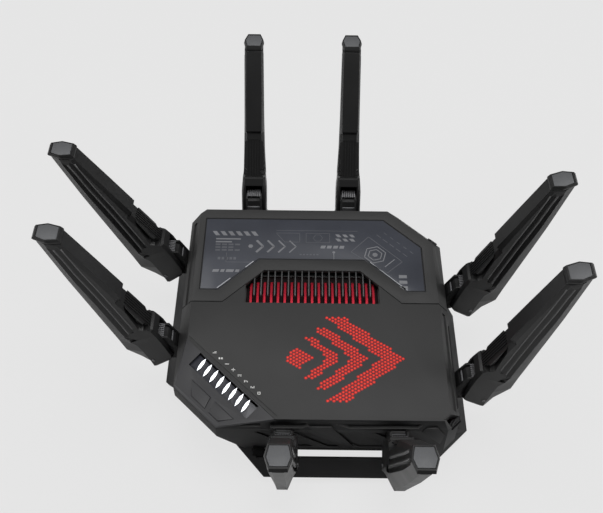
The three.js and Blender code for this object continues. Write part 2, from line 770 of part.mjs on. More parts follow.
/** Frame of the round key: Z along the bevel's normal at the rear right corner. */
function roundKeyMatrix() {
  const run = cornerReach(slabOutline) - cornerReach(deckOutline);
  const fall = deckTop - coverBottom;
  const length = Math.hypot(run, fall);
  const s = cornerReach(deckOutline) + roundKeyDown * run / length;
  const z = deckTop - roundKeyDown * fall / length;
  const outward = new THREE.Vector3(Math.SQRT1_2, Math.SQRT1_2, 0);
  const across = new THREE.Vector3(-Math.SQRT1_2, Math.SQRT1_2, 0);
  const normal = outward.clone().multiplyScalar(fall / length).add(new THREE.Vector3(0, 0, run / length));
  const side = new THREE.Vector3().crossVectors(across, normal);
  const place = outward.multiplyScalar(s).add(across.clone().multiplyScalar(cornerShift + roundKeyAlong));
  return new THREE.Matrix4().makeBasis(side, across, normal).setPosition(place.x, place.y, z);
}

function rearCover() {
  const shell = lid().subtract(frontRegion(0));
  const keyHole = rod(roundKeyRadius + clearance, 20, 'z', 20).applyMatrix4(roundKeyMatrix());
  const keySeat = rod(roundKeyRadius + keyFlange + clearance, 12, 'z', 20)
    .translate(0, 0, -coverWall - 6 + 0.6).applyMatrix4(roundKeyMatrix());
  return geometryOf(cut(shell, [
    solid(prism(ventOutline(), 0, deckTop + 10)),
    solid(prism(panelOutline(0), deckTop - panelSink - panelThickness - clearance, deckTop + 10)),
    solid(keyHole), solid(keySeat), bevelSlot(-1),
  ]));
}

add('front_deck', frontDeck(), deckPlastic);
add('rear_cover', rearCover(), deckPlastic);
const panelTop = deckTop - panelSink;
add('rear_panel', prism(panelOutline(clearance), panelTop - panelThickness, panelTop), smokedAcrylic);

// ---------------------------------------------------------------- louvres and heat sink

const grilleTop = deckUnder - clearance;
const finMiddle = (ventLeftX + ventRightX) / 2;

/** Frame under the edge of the opening, with a louvre between each two fins and one cross bar. */
function louvreGrille() {
  const frame = solid(prism(ventOutline(grilleBorder), grilleTop - grilleFrame, grilleTop))
    .subtract(solid(prism(ventOutline(), 0, deckTop)));
  const slatTop = grilleTop - louvreSink;
  const louvres = Array.from({ length: finCount - 1 }, (_, i) => {
    const x = finMiddle + (i - (finCount - 2) / 2) * finPitch;
    const fromSide = Math.min(x - ventLeftX, ventRightX - x, ventCorner);
    const rear = ventRearY - ventCorner + fromSide;
    return solid(block(x - louvreWidth / 2, x + louvreWidth / 2, louvreBarY, rear + grilleBorder / 2,
      slatTop - louvreHeight, slatTop));
  });
  const bar = solid(block(ventLeftX - grilleBorder / 2, ventRightX + grilleBorder / 2,
    louvreBarY - louvreBarWidth, louvreBarY + louvreSink,
    slatTop - louvreHeight - louvreSink, slatTop + louvreSink / 2));
  return geometryOf(joined([frame, bar, ...louvres]));
}

const finLow = boardTop + shieldHeight + 2 * clearance;

function heatSink() {
  const halfSpan = (finCount - 1) / 2 * finPitch + finThickness / 2;
  const frontY = ventFrontY - finMargin;
  const rearY = ventRearY + finMargin;
  const base = solid(block(
    finMiddle - halfSpan, finMiddle + halfSpan, frontY, rearY, finLow, finLow + finBase));
  const fins = Array.from({ length: finCount }, (_, i) => {
    const x = finMiddle + (i - (finCount - 1) / 2) * finPitch;
    return solid(block(x - finThickness / 2, x + finThickness / 2, frontY, rearY, finLow, finTop));
  });
  return geometryOf(joined([base, ...fins]));
}

add('louvre_grille', louvreGrille(), blackPlastic);
add('heat_sink', heatSink(), redMetal);

// ---------------------------------------------------------------- control corner

const facetGroup = new THREE.Group();
facetMatrix().decompose(facetGroup.position, facetGroup.quaternion, facetGroup.scale);
router.add(facetGroup);

const keyStemLow = -facetPlate - clearance - keyFlangeThickness;
const keyBoardTop = keyStemLow - keyTravel - clearance - switchHeight;
const gapTop = (keyShapes.mode_key[1][1] + keyShapes.link_key[0][1]) / 2;
const gapBottom = (keyShapes.mode_key[2][1] + keyShapes.link_key[3][1]) / 2;
const bossShare = 0.3;
const bossPlace = [keyTop + bossShare * (keyBottom - keyTop), gapTop + bossShare * (gapBottom - gapTop)];

/** Sloping plate of the control corner, with the boss that carries the key board. */
function controlPanel() {
  const plate = lidOutside().intersect(solid(cornerPrism([
    [facetInner + clearance, facetAt(facetInner + clearance) - facetPlate],
    [facetEnd, facetAt(facetEnd) - facetPlate],
    [facetEnd, facetAt(facetEnd)],
    [facetInner + clearance, facetAt(facetInner + clearance)],
  ], beyond, 'frontLeft')));
  const placed = (geometry) => solid(geometry.applyMatrix4(facetMatrix()));
  const trough = placed(block(troughStart, troughEnd, lightRow - troughHalf, lightRow + troughHalf, -9, 9));
  const keyHoles = Object.values(keyShapes).map(
    (points) => placed(prism(keyOutline(points, clearance), -9, 9)));
  const top = -facetPlate / 2;
  const bottom = keyBoardTop + clearance;
  const boss = placed(rod(bossRadius, top - bottom, 'z', 10).translate(...bossPlace, (top + bottom) / 2));
  return geometryOf(cut(plate, [trough, ...keyHoles]).add(boss));
}

const stripTop = -facetPlate - clearance;

/** Light guide: eight leaf-shaped bars that stand up from one strip. */
function lightGuide() {
  const half = lightWidth / 2;
  const start = (troughStart + troughEnd - lightLength) / 2;
  const strip = block(troughStart + 1.6, troughEnd + 2, lightRow - troughHalf, lightRow + troughHalf,
    stripTop - stripThickness, stripTop);
  const bars = Array.from({ length: lightCount }, (_, i) => {
    const y = lightRow + (i - (lightCount - 1) / 2) * lightPitch;
    const at = (share, side) => [start + share * lightLength, y + (share - 0.5) * lightSkew + side * half];
    const leaf = [at(0, 0), at(0.3, 1), at(0.7, 1), at(1, 0), at(0.7, -1), at(0.3, -1)];
    return solid(prism(leaf.reverse(), stripTop - stripThickness / 2, -lightSink));
  });
  return geometryOf(joined([solid(strip), ...bars]));
}

function facetKey(points) {
  const body = solid(prism(keyOutline(points, 0), keyStemLow, keyRise));
  const flange = solid(prism(keyOutline(points, keyFlange), keyStemLow, -facetPlate - clearance));
  return geometryOf(body.add(flange));
}

/** Board under the two keys, with a switch below the middle of each of them. */
function keyBoard() {
  const low = cornerShift + modeKeyEnds.upper[0] + keyBoardMargin;
  const high = cornerShift + linkKeyEnds.upper[1] - keyBoardMargin;
  const board = solid(block(keyTop - switchSide, (keyTop + keyBottom) / 2, low, high,
    keyBoardTop - keyBoardThickness, keyBoardTop));
  const half = switchSide / 2;
  const switches = Object.values(keyShapes).map((points) => {
    const along = points.reduce((sum, [, y]) => sum + y / points.length, 0);
    return solid(block(keyTop - 1, keyTop + half + 1, along - half, along + half,
      keyBoardTop - keyBoardThickness / 2, keyBoardTop + switchHeight));
  });
  return geometryOf(joined([board, ...switches]));
}

add('control_panel', controlPanel(), blackPlastic);
add('light_guide', lightGuide(), whiteLight, facetGroup);
for (const [name, points] of Object.entries(keyShapes)) {
  add(name, facetKey(points), blackPlastic, facetGroup);
}
add('key_board', keyBoard(), boardGreen, facetGroup);

// ---------------------------------------------------------------- other keys

function roundKey() {
  const low = -coverWall - 1.2;
  const cap = rod(roundKeyRadius, roundKeyRise - low, 'z', 20);
  return geometryOf(solid(cap.translate(0, 0, (roundKeyRise + low) / 2)));
}

const roundKeyGroup = new THREE.Group();
roundKeyMatrix().decompose(roundKeyGroup.position, roundKeyGroup.quaternion, roundKeyGroup.scale);
router.add(roundKeyGroup);
add('round_key', roundKey(), blackPlastic, roundKeyGroup);

/** Push rod of a key on the cut face, with a flange behind the wall. */
function wallKey(radius, rise, sides, along, height) {
  const inner = -housingWall - clearance;
  const shaft = rod(radius, rise - inner + 1.5, 'x', sides).translate((rise + inner - 1.5) / 2, 0, 0);
  const flange = rod(radius + 1.2, 1.2, 'x', sides).translate(inner - 0.9, 0, 0);
  return geometryOf(solid(toCutFace(shaft, along, height)).add(solid(toCutFace(flange, along, height))));
}

add('power_button', wallKey(powerRadius, powerRise, 20, powerAlong, powerHeight), blackPlastic);
add('reset_button', wallKey(resetRadius, -0.8, 12, resetAlong, resetHeight), blackPlastic);

// ---------------------------------------------------------------- electronics

function mainBoard() {
  return prism([
    [-boardHalf, boardFront + 30], [-boardHalf + 30, boardFront], [boardHalf, boardFront],
    [boardHalf, boardRear - 10], [boardHalf - 7, boardRear], [-boardHalf, boardRear],
  ], boardLow, boardTop);
}

/** Screening can over the processor and the radio sections, which feeds the heat sink. */
function shieldCan() {
  const low = boardTop + clearance;
  const box = (wall, bottom, top) => solid(block(
    ventLeftX + shieldInset + wall, ventRightX - shieldInset - wall,
    ventFrontY + wall, ventRearY - shieldInset / 4 - wall, bottom, top));
  const hollow = box(shieldWall, low - overcut, low + shieldHeight - shieldWall);
  return geometryOf(box(0, low, low + shieldHeight).subtract(hollow));
}

/** Jack shell with a mouth that opens through the rear wall. */
function socketShell(middle, width, height, depth, mouths) {
  const shell = solid(block(
    middle - width / 2, middle + width / 2, wallY - depth, wallY, jackLow, jackLow + height));
  return cut(shell, mouths.map(([mouthWidth, low, mouthHeight]) => solid(block(
    middle - mouthWidth / 2, middle + mouthWidth / 2, wallY - jackMouthDepth, wallY + overcut,
    jackLow + low, jackLow + low + mouthHeight))));
}

/** Gang of network jacks that share one block. */
function jackGang(centres) {
  const mouth = [jackMouthWidth, jackMouthLow, jackMouthHeight];
  const shells = centres.map((middle) => socketShell(middle, jackWidth, jackHeight, jackDepth, [mouth]));
  const low = Math.min(...centres);
  const high = Math.max(...centres);
  const tie = block(low, high, wallY - jackDepth, wallY - housingWall - clearance - 3,
    jackLow + jackHeight - 1.5, jackLow + jackHeight);
  const back = block(low, high, wallY - jackDepth, wallY - jackMouthDepth - 1, jackLow, jackLow + jackHeight);
  return geometryOf(joined([...shells, solid(tie), solid(back)]));
}

function usbSocket() {
  const mouths = [1.6, usbHeight - 1.6 - usbMouthHeight].map((low) => [usbMouthWidth, low, usbMouthHeight]);
  return geometryOf(socketShell(usbX, usbWidth, usbHeight, usbDepth, mouths));
}

function dcInlet() {
  const shell = solid(toCutFace(
    block(-dcDepth, 0, -dcWidth / 2, dcWidth / 2, -dcHeight / 2, dcHeight / 2), dcAlong, dcMiddle));
  const mouth = solid(toCutFace(rod(dcMouthRadius, 18, 'x', 16), dcAlong, dcMiddle));
  const pin = solid(toCutFace(rod(dcPinRadius, 9, 'x', 8).translate(-5.5, 0, 0), dcAlong, dcMiddle));
  const back = solid(toCutFace(
    block(-dcDepth, -9, -dcWidth / 2, dcWidth / 2, -dcHeight / 2, dcHeight / 2), dcAlong, dcMiddle));
  return geometryOf(joined([shell.subtract(mouth), back, pin]));
}

add('main_board', mainBoard(), boardGreen);
add('shield_can', shieldCan(), steel);
add('lan_jacks', jackGang(jackCentres.slice(0, 4)), portShell);
add('wan_jacks', jackGang(jackCentres.slice(4)), portShell);
add('usb_socket', usbSocket(), portShell);
add('dc_inlet', dcInlet(), blackPlastic);

// Lit field under the front deck: a red diffuser
const diffuserTop = deckUnder - clearance;
const diffuserFront = diffuserMargin - deckOutline.halfY;
const fieldRegion = [
  [diffuserLeft, diffuserFront], [diffuserRight, diffuserFront], [diffuserRight, diffuserRear],
  [diffuserLeft + diffuserCorner, diffuserRear], [diffuserLeft, diffuserRear - diffuserCorner],
];
add('deck_diffuser', prism(fieldRegion, diffuserTop - diffuserThickness, diffuserTop), redLight);

// ---------------------------------------------------------------- antennas

/** Prism whose section is drawn as [out, up] around the hinge axis. */
function sidePrism(points, half, bevel = 0) {
  const shape = new THREE.Shape(points.map(([out, up]) => new THREE.Vector2(-out, up)));
  const geometry = new THREE.ExtrudeGeometry(shape, {
    depth: 2 * (half - bevel),
    bevelEnabled: bevel > 0,
    bevelThickness: bevel,
    bevelSize: bevel,
    bevelOffset: -bevel,
    bevelSegments: 1,
  });
  geometry.translate(0, 0, bevel - half);
  const turn = new THREE.Matrix4().makeBasis(
    new THREE.Vector3(0, 1, 0), new THREE.Vector3(0, 0, 1), new THREE.Vector3(1, 0, 0));
  return geometry.applyMatrix4(turn);
}

/** Fixed knuckle: a barrel around the pin on an arm whose tenon passes through the side wall. */
function hingeBracket({ hingeReach }) {
  const wall = -hingeReach;
  const barrel = solid(rod(barrelRadius, armWidth, 'x', 24));
  const arm = solid(sidePrism([
    [wall + clearance, tenonLow - 1.5], [wall + 6, tenonLow - 1.5], [8.6, -6.2],
    [0, barrelRadius - 0.4], [-8, barrelRadius - 0.4], [wall + clearance, tenonHigh + 3],
  ], armWidth / 2));
  const tenon = solid(sidePrism([
    [wall - housingWall - tenonEnd, tenonLow], [wall + 2, tenonLow],
    [wall + 2, tenonHigh], [wall - housingWall - tenonEnd, tenonHigh],
  ], armWidth / 2));
  const bore = solid(rod(pinRadius + clearance, armWidth + 2, 'x', 16));
  return geometryOf(joined([barrel, arm, tenon]).subtract(bore));
}

/** Ring of an antenna blade: broad faces with a slanted strip towards each edge. */
function bladeRing(up, inner, outer, half, { outerStrip, innerStrip, outerHalf, innerHalf }) {
  return [
    [-outerHalf, -outer, up], [outerHalf, -outer, up], [half, -outer + outerStrip, up],
    [half, -inner - innerStrip, up], [innerHalf, -inner, up], [-innerHalf, -inner, up],
    [-half, -inner - innerStrip, up], [-half, -outer + outerStrip, up],
  ];
}

const outerAt = (up) => kneeOut + (neckOut - kneeOut) * (up - kneeUp) / (neckUp - kneeUp);

function bladeSkin(inset) {
  const shrunk = Object.entries(bladeSection).map(([key, size]) => [key, size - inset / 2]);
  const section = Object.fromEntries(shrunk);
  const ring = (up, inner, outer, half) => bladeRing(up, inner + inset, outer - inset, half - inset, section);
  return [
    ring(footTopUp - 12, bladeLowIn, outerAt(footTopUp - 12), bladeHalf),
    ring(stepUp - 3, bladeLowIn, outerAt(stepUp - 3), bladeHalf),
    ring(stepUp, bladeHighIn, outerAt(stepUp), bladeHalf),
    ring(neckUp, bladeHighIn, neckOut, neckHalf),
  ];
}

/** Tilts a level ring of the head so that it slopes with the end face. */
const sloped = (ring) => ring.map(([x, y, up]) => [x, y, up + headSlope * (-y - (capIn + capOut) / 2)]);

const capRing = (up, inset) => bladeRing(up, capIn + inset, capOut - inset, capHalf - inset, capSection);
const headRing = (up, inset) => bladeRing(up, headIn + inset, headOut - inset, headHalf - inset, headSection);

function antennaBlade() {
  const foot = solid(sidePrism([
    [footHeelOut, footHeelUp], [footTipOut, footTipUp], [kneeOut, kneeUp],
    [outerAt(footTopUp) + 0.4, footTopUp], [bladeLowIn, footTopUp], [-barrelRadius, 12], [-barrelRadius, -4],
  ], footHalf, footBevel));
  const neck = bladeRing(neckUp + creaseDepth, bladeHighIn + creaseDepth, neckOut - creaseDepth,
    neckHalf - creaseDepth, neckSection);
  const body = solid(loft([
    ...bladeSkin(0), neck, headRing(neckUp + creaseHeight, 0),
    sloped(headRing(headUp - headRound, 0)), sloped(headRing(headUp, headRound)),
  ]));
  const slot = solid(sidePrism([
    [-kneeOut, forkTop], [forkTopOut, forkTop], [forkOut, forkBendHigh], [forkOut, forkBendLow],
    [forkMouthOut, forkMouthUp], [forkMouthOut + forkMouthWiden, 2 * footTipUp], [-kneeOut, 2 * footTipUp],
  ], forkSlot / 2));
  const skin = bladeSkin(bladeWall);
  skin[0] = skin[0].map(([x, y]) => [x, y, footTopUp + 6]);
  const cavity = solid(loft(skin));
  const throat = solid(loft([capRing(neckUp - 2, 1.6), sloped(capRing(headUp - capRecess + overcut, 1.6))]));
  const seat = solid(loft([sloped(capRing(headUp - capRecess, 0)), sloped(capRing(headUp + overcut, 0))]));
  const bore = solid(rod(pinRadius + clearance, pinLength + 2 * clearance, 'x', 16));
  return geometryOf(cut(foot.add(body), [slot, cavity, throat, seat, bore]));
}

const antennaCap = () => loft([
  sloped(capRing(headUp - capRecess + clearance, clearance)), sloped(capRing(headUp, clearance)),
]);

for (const station of stations) {
  const hinge = stationGroup(station);
  add(`hinge_bracket_${station.name}`, hingeBracket(station), blackPlastic, hinge);
  add(`hinge_pin_${station.name}`, rod(pinRadius, pinLength, 'x', 16), steel, hinge);
  const antenna = new THREE.Group();
  antenna.rotation.x = THREE.MathUtils.degToRad(station.tilt);
  hinge.add(antenna);
  add(`antenna_blade_${station.name}`, antennaBlade(), antennaPlastic, antenna);
  add(`antenna_cap_${station.name}`, antennaCap(), capMetal, antenna);
}

// The origin is under the middle of the whole outline, antennas included
const outline = new THREE.Box3().setFromObject(router, true);
const middle = outline.getCenter(new THREE.Vector3());
router.position.set(-middle.x, -middle.y, 0);

export default router;
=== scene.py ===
# A wireless router with eight fold-out antennas, finished for its looks around its packed
# construction. Lengths are in millimetres where a name says mm, and otherwise in metres.

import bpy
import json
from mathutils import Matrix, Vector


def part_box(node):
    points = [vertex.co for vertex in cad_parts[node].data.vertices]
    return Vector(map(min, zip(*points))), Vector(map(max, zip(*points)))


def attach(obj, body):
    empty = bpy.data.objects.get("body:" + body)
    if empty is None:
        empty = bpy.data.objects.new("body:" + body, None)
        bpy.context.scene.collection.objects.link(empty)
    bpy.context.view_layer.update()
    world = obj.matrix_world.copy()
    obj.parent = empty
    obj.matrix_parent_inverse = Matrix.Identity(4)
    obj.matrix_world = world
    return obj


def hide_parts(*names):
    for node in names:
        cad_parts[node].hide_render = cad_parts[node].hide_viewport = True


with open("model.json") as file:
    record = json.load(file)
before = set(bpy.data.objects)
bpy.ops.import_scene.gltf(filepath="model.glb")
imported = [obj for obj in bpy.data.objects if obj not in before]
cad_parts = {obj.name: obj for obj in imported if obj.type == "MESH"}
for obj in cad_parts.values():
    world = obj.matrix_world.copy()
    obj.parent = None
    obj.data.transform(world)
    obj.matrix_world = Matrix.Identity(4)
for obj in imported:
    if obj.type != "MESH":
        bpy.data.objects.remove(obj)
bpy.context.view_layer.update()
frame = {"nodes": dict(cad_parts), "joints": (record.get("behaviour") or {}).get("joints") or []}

import json
import math
import bmesh
import bpy
from mathutils import Matrix, Vector

nodes = frame["nodes"]
mm = 0.001

# Room: camera, lamps and floor. The view is from above the front edge, close enough for
# strong perspective. Soft light comes from overhead and from both sides, little from the front.

housing_low, housing_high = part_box("lower_housing")
centre = (housing_low + housing_high) / 2
centre.z = 0.0

camera_data = bpy.data.cameras.new("camera")
camera_data.lens = 53.6
camera_data.sensor_width = 36.0
camera_data.clip_start = 0.01
camera_data.clip_end = 60.0
camera = bpy.data.objects.new("camera", camera_data)
bpy.context.scene.collection.objects.link(camera)
camera_down = math.radians(50.12)
camera_roll = math.radians(0.67)
camera.matrix_world = (
    Matrix.Translation(centre + Vector((-0.0124, -0.4730, 0.7074)))
    @ Matrix.Rotation(math.pi / 2 - camera_down, 4, "X")
    @ Matrix.Rotation(camera_roll, 4, "Z")
)
bpy.context.scene.camera = camera
bpy.context.scene.view_settings.view_transform = "Standard"


def lamp(name, place, aim, size, power):
    data = bpy.data.lights.new(name, "AREA")
    data.shape = "DISK"
    data.size = size
    data.energy = power
    lit = bpy.data.objects.new(name, data)
    bpy.context.scene.collection.objects.link(lit)
    lit.rotation_euler = (Vector(aim) - Vector(place)).to_track_quat("-Z", "Y").to_euler()
    lit.location = place


lamp("overhead", (0.1, 0.25, 2.4), (0, 0, 0), 1.9, 40)
lamp("left_side", (-2.2, -0.3, 0.9), (0, 0, 0.05), 1.3, 30)
lamp("right_side", (2.2, -0.3, 0.9), (0, 0, 0.05), 1.3, 30)

pale = (0.798, 0.798, 0.798, 1)
floor_share = 0.90                # the rest of the floor's look is its own, with the shadow


def shown_pale(tree, lit, plain, output, share):
    """Shows plain for camera and glass rays, in the given share, and lit for the rest."""
    path = tree.nodes.new("ShaderNodeLightPath")
    straight = tree.nodes.new("ShaderNodeMath")
    straight.operation = "MAXIMUM"
    tree.links.new(path.outputs["Is Camera Ray"], straight.inputs[0])
    tree.links.new(path.outputs["Is Transmission Ray"], straight.inputs[1])
    part = tree.nodes.new("ShaderNodeMath")
    part.operation = "MULTIPLY"
    part.inputs[1].default_value = share
    tree.links.new(straight.outputs[0], part.inputs[0])
    mix = tree.nodes.new("ShaderNodeMixShader")
    tree.links.new(part.outputs[0], mix.inputs[0])
    tree.links.new(lit, mix.inputs[1])
    tree.links.new(plain, mix.inputs[2])
    tree.links.new(mix.outputs[0], output)


world = bpy.data.worlds.new("soft_room")
bpy.context.scene.world = world
world.use_nodes = True
room = world.node_tree
room.nodes["Background"].inputs["Color"].default_value = (1, 1, 1, 1)
room.nodes["Background"].inputs["Strength"].default_value = 0.25
backdrop = room.nodes.new("ShaderNodeBackground")
backdrop.inputs["Color"].default_value = pale
shown_pale(room, room.nodes["Background"].outputs[0], backdrop.outputs[0],
           room.nodes["World Output"].inputs["Surface"], 1.0)


def new_paint(name):
    """A fresh material, with its node tree and its main shader."""
    made = bpy.data.materials.new(name)
    made.use_nodes = True
    return made, made.node_tree, made.node_tree.nodes["Principled BSDF"]


bpy.ops.object.select_all(action="DESELECT")
bpy.ops.mesh.primitive_plane_add(size=24, location=(0, 0, 0))
floor = bpy.context.object
floor.name = "floor"
floor_paint, floor_tree, floor_shader = new_paint("pale_floor")
floor_shader.inputs["Base Color"].default_value = (0.58, 0.58, 0.58, 1)
floor_shader.inputs["Roughness"].default_value = 0.9
floor_shader.inputs["Specular IOR Level"].default_value = 0.1
floor_glow = floor_tree.nodes.new("ShaderNodeEmission")
floor_glow.inputs["Color"].default_value = pale
shown_pale(floor_tree, floor_shader.outputs[0], floor_glow.outputs[0],
           floor_tree.nodes["Material Output"].inputs["Surface"], floor_share)
floor.data.materials.append(floor_paint)

# Housing: an eight-sided tub with a flared, slotted stand under it, all injection-moulded in
# black plastic with a fine spark-eroded grain. Every moulded edge has a small radius.


def object_place(tree):
    return tree.nodes.new("ShaderNodeTexCoord").outputs["Object"]


def noise(tree, place, scale, detail=2):
    """A cloudy value that changes from place to place."""
    cloud = tree.nodes.new("ShaderNodeTexNoise")
    cloud.inputs["Scale"].default_value = scale
    cloud.inputs["Detail"].default_value = detail
    tree.links.new(place, cloud.inputs["Vector"])
    return cloud.outputs["Fac"]


def mixed(tree, share, low, high, *sockets):
    """Feeds the sockets with a colour between two others."""
    tint = tree.nodes.new("ShaderNodeMix")
    tint.data_type = "RGBA"
    tint.inputs["A"].default_value = (*low, 1)
    tint.inputs["B"].default_value = (*high, 1)
    tree.links.new(share, tint.inputs["Factor"])
    for socket in sockets:
        tree.links.new(tint.outputs["Result"], socket)


def mottled(tree, share, colour, swing, *sockets):
    """Feeds the sockets with a colour that swings around its own mean."""
    low = [part * (1 - swing) for part in colour]
    high = [part * (1 + swing) for part in colour]
    mixed(tree, share, low, high, *sockets)


def drifting(tree, share, middle, swing, socket):
    """Feeds the socket with a number that drifts around its middle."""
    drift = tree.nodes.new("ShaderNodeMapRange")
    drift.inputs["To Min"].default_value = middle - swing
    drift.inputs["To Max"].default_value = middle + swing
    tree.links.new(share, drift.inputs["Value"])
    tree.links.new(drift.outputs["Result"], socket)


def bumped(tree, height, strength, depth_mm, shader):
    bump = tree.nodes.new("ShaderNodeBump")
    bump.inputs["Strength"].default_value = strength
    bump.inputs["Distance"].default_value = depth_mm * mm
    tree.links.new(height, bump.inputs["Height"])
    tree.links.new(bump.outputs["Normal"], shader.inputs["Normal"])


def plastic(name, colour, roughness, shine, grain=0.35, grain_mm=0.4, mottling=0.12):
    """Moulded plastic: faint mottling, a sheen that drifts, and a fine eroded grain."""
    made, tree, shader = new_paint(name)
    shader.inputs["Specular IOR Level"].default_value = shine
    place = object_place(tree)
    broad = noise(tree, place, 40, 6)
    mottled(tree, broad, colour, mottling, shader.inputs["Base Color"])
    drifting(tree, broad, roughness, 0.07, shader.inputs["Roughness"])
    bumped(tree, noise(tree, place, 1 / (grain_mm * mm)), grain, 0.04, shader)
    return made


def finish_node(name, paint, radius_mm=0.4):
    """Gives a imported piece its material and, with live modifiers, its small edge radii."""
    piece = nodes[name]
    piece.data.materials.clear()
    piece.data.materials.append(paint)
    for polygon in piece.data.polygons:
        polygon.use_smooth = radius_mm > 0
    if radius_mm > 0:
        weld = piece.modifiers.new("weld", "WELD")
        weld.merge_threshold = 0.00001
        flat = piece.modifiers.new("flat_faces", "DECIMATE")
        flat.decimate_type = "DISSOLVE"
        flat.angle_limit = math.radians(0.6)
        edge = piece.modifiers.new("edge_radius", "BEVEL")
        edge.width = radius_mm * mm
        edge.segments = 2
        edge.limit_method = "ANGLE"
        edge.angle_limit = math.radians(25)
        edge.harden_normals = True


black_plastic = plastic("black_plastic", (0.0064, 0.0064, 0.0067), 0.5, 0.26)
for name in ("lower_housing", "stand_front_right", "stand_rear_left", "bottom_tray"):
    finish_node(name, black_plastic)

# Feet: four long pads of soft rubber glued into the corners of the tray, and the four
# recessed cross-head screws beside them that hold the tray to the housing.

foot_rubber = plastic("foot_rubber", (0.013, 0.013, 0.013), 0.85, 0.2, 0.8, 0.25)
for corner in ("front_left", "front_right", "rear_right", "rear_left"):
    finish_node(f"foot_{corner}", foot_rubber, 0.6)


def metal(name, colour, roughness, streak=(1, 1, 1), depth=0.2, polish=0.08, scale=900,
          metallic=1.0):
    """Metal with fine streaks along one direction and patches of different polish."""
    made, tree, shader = new_paint(name)
    shader.inputs["Metallic"].default_value = metallic
    place = object_place(tree)
    stretch = tree.nodes.new("ShaderNodeMapping")
    stretch.inputs["Scale"].default_value = streak
    tree.links.new(place, stretch.inputs["Vector"])
    lines = noise(tree, stretch.outputs["Vector"], scale, 3)
    mottled(tree, lines, colour, 0.18, shader.inputs["Base Color"])
    drifting(tree, noise(tree, place, 120), roughness, polish, shader.inputs["Roughness"])
    bumped(tree, lines, depth, 0.03, shader)
    return made


def close_mesh():
    bpy.ops.object.mode_set(mode="OBJECT")


def bare_piece(name):
    """The new primitive in hand, named, with its normals facing outwards."""
    piece = bpy.context.object
    piece.name = name
    if piece.mode == "EDIT":
        bpy.ops.mesh.select_all(action="SELECT")
        bpy.ops.mesh.normals_make_consistent(inside=False)
        close_mesh()
    return piece


def pick(piece):
    """Selects this piece alone and makes it the active one."""
    bpy.ops.object.select_all(action="DESELECT")
    piece.select_set(True)
    bpy.context.view_layer.objects.active = piece


def open_mesh():
    """Enters edit mode on the active piece, with all of its mesh selected."""
    bpy.ops.object.mode_set(mode="EDIT")
    bpy.ops.mesh.select_all(action="SELECT")


def settle(piece, place=Matrix.Identity(4)):
    """Moves the piece by place and leaves its object at the origin, unturned."""
    bpy.context.view_layer.update()
    piece.matrix_world = place @ piece.matrix_world
    pick(piece)
    bpy.ops.object.transform_apply(location=True, rotation=True, scale=True)
    open_mesh()
    bpy.ops.mesh.normals_make_consistent(inside=False)
    close_mesh()
    return piece


def copied(name, source):
    """A new piece of the same shape as another, at the origin."""
    made = bpy.data.objects.new(name, source.data.copy())
    bpy.context.scene.collection.objects.link(made)
    return made


def discard(*pieces):
    """Throws away pieces that were only there to be copied or to cut."""
    for piece in pieces:
        bpy.data.objects.remove(piece)


def join(name, pieces):
    bpy.ops.object.select_all(action="DESELECT")
    for piece in pieces:
        piece.select_set(True)
    bpy.context.view_layer.objects.active = pieces[0]
    bpy.ops.object.join()
    pieces[0].name = name
    return pieces[0]


def carve(piece, cutter, operation="DIFFERENCE"):
    """Cuts the piece with the cutter, or joins them, and throws the cutter away."""
    change = piece.modifiers.new("carve", "BOOLEAN")
    change.operation = operation
    change.object = cutter
    change.solver = "EXACT"
    bpy.context.view_layer.objects.active = piece
    bpy.ops.object.modifier_apply(modifier="carve")
    discard(cutter)


def round_edges(piece, radius_mm, angle=28, smooth=35):
    """Breaks the sharp edges of a new piece by a small radius."""
    pick(piece)
    open_mesh()
    bpy.ops.mesh.remove_doubles(threshold=0.00001)
    bpy.ops.mesh.dissolve_limited(angle_limit=math.radians(0.5))
    close_mesh()
    edge = piece.modifiers.new("edge_radius", "BEVEL")
    edge.width = radius_mm * mm
    edge.segments = 2
    edge.limit_method = "ANGLE"
    edge.angle_limit = math.radians(angle)
    bpy.ops.object.modifier_apply(modifier="edge_radius")
    bpy.ops.object.shade_smooth_by_angle(angle=math.radians(smooth))


def fit(piece, paint, slot, body="housing", *stands_for):
    """Paints a finished piece, hangs it on its body and hides the imported pieces it stands for.
    """
    piece.data.materials.clear()
    piece.data.materials.append(paint)
    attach(piece, body)
    if stands_for:
        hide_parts(*stands_for)


screw_steel = metal("screw_steel", (0.16, 0.16, 0.165), 0.35)


def cube(*size_mm):
    """A box of the given sizes around the origin."""
    bpy.ops.object.select_all(action="DESELECT")
    bpy.ops.mesh.primitive_cube_add(size=1)
    bpy.context.object.scale = Vector(size_mm) * mm
    return bpy.context.object


def screw(radius_mm, high_mm):
    """Cross-head screw, drawn upright around the origin with its head upwards."""
    bpy.ops.object.select_all(action="DESELECT")
    bpy.ops.mesh.primitive_cylinder_add(vertices=20, radius=radius_mm * mm, depth=high_mm * mm)
    head = bpy.context.object
    for turn in (0, math.pi / 2):
        bit = cube(radius_mm * 1.25, radius_mm * 0.3, high_mm * 0.9)
        bit.location.z = high_mm / 2 * mm
        carve(head, settle(bit, Matrix.Rotation(turn, 4, "Z")))
    round_edges(head, radius_mm * 0.12, 40)
    return head


def box_mm(name):
    """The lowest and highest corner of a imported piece, in millimetres."""
    return [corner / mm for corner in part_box(name)]


def shift(x, y, z):
    """A move by millimetres."""
    return Matrix.Translation(Vector((x, y, z)) * mm)


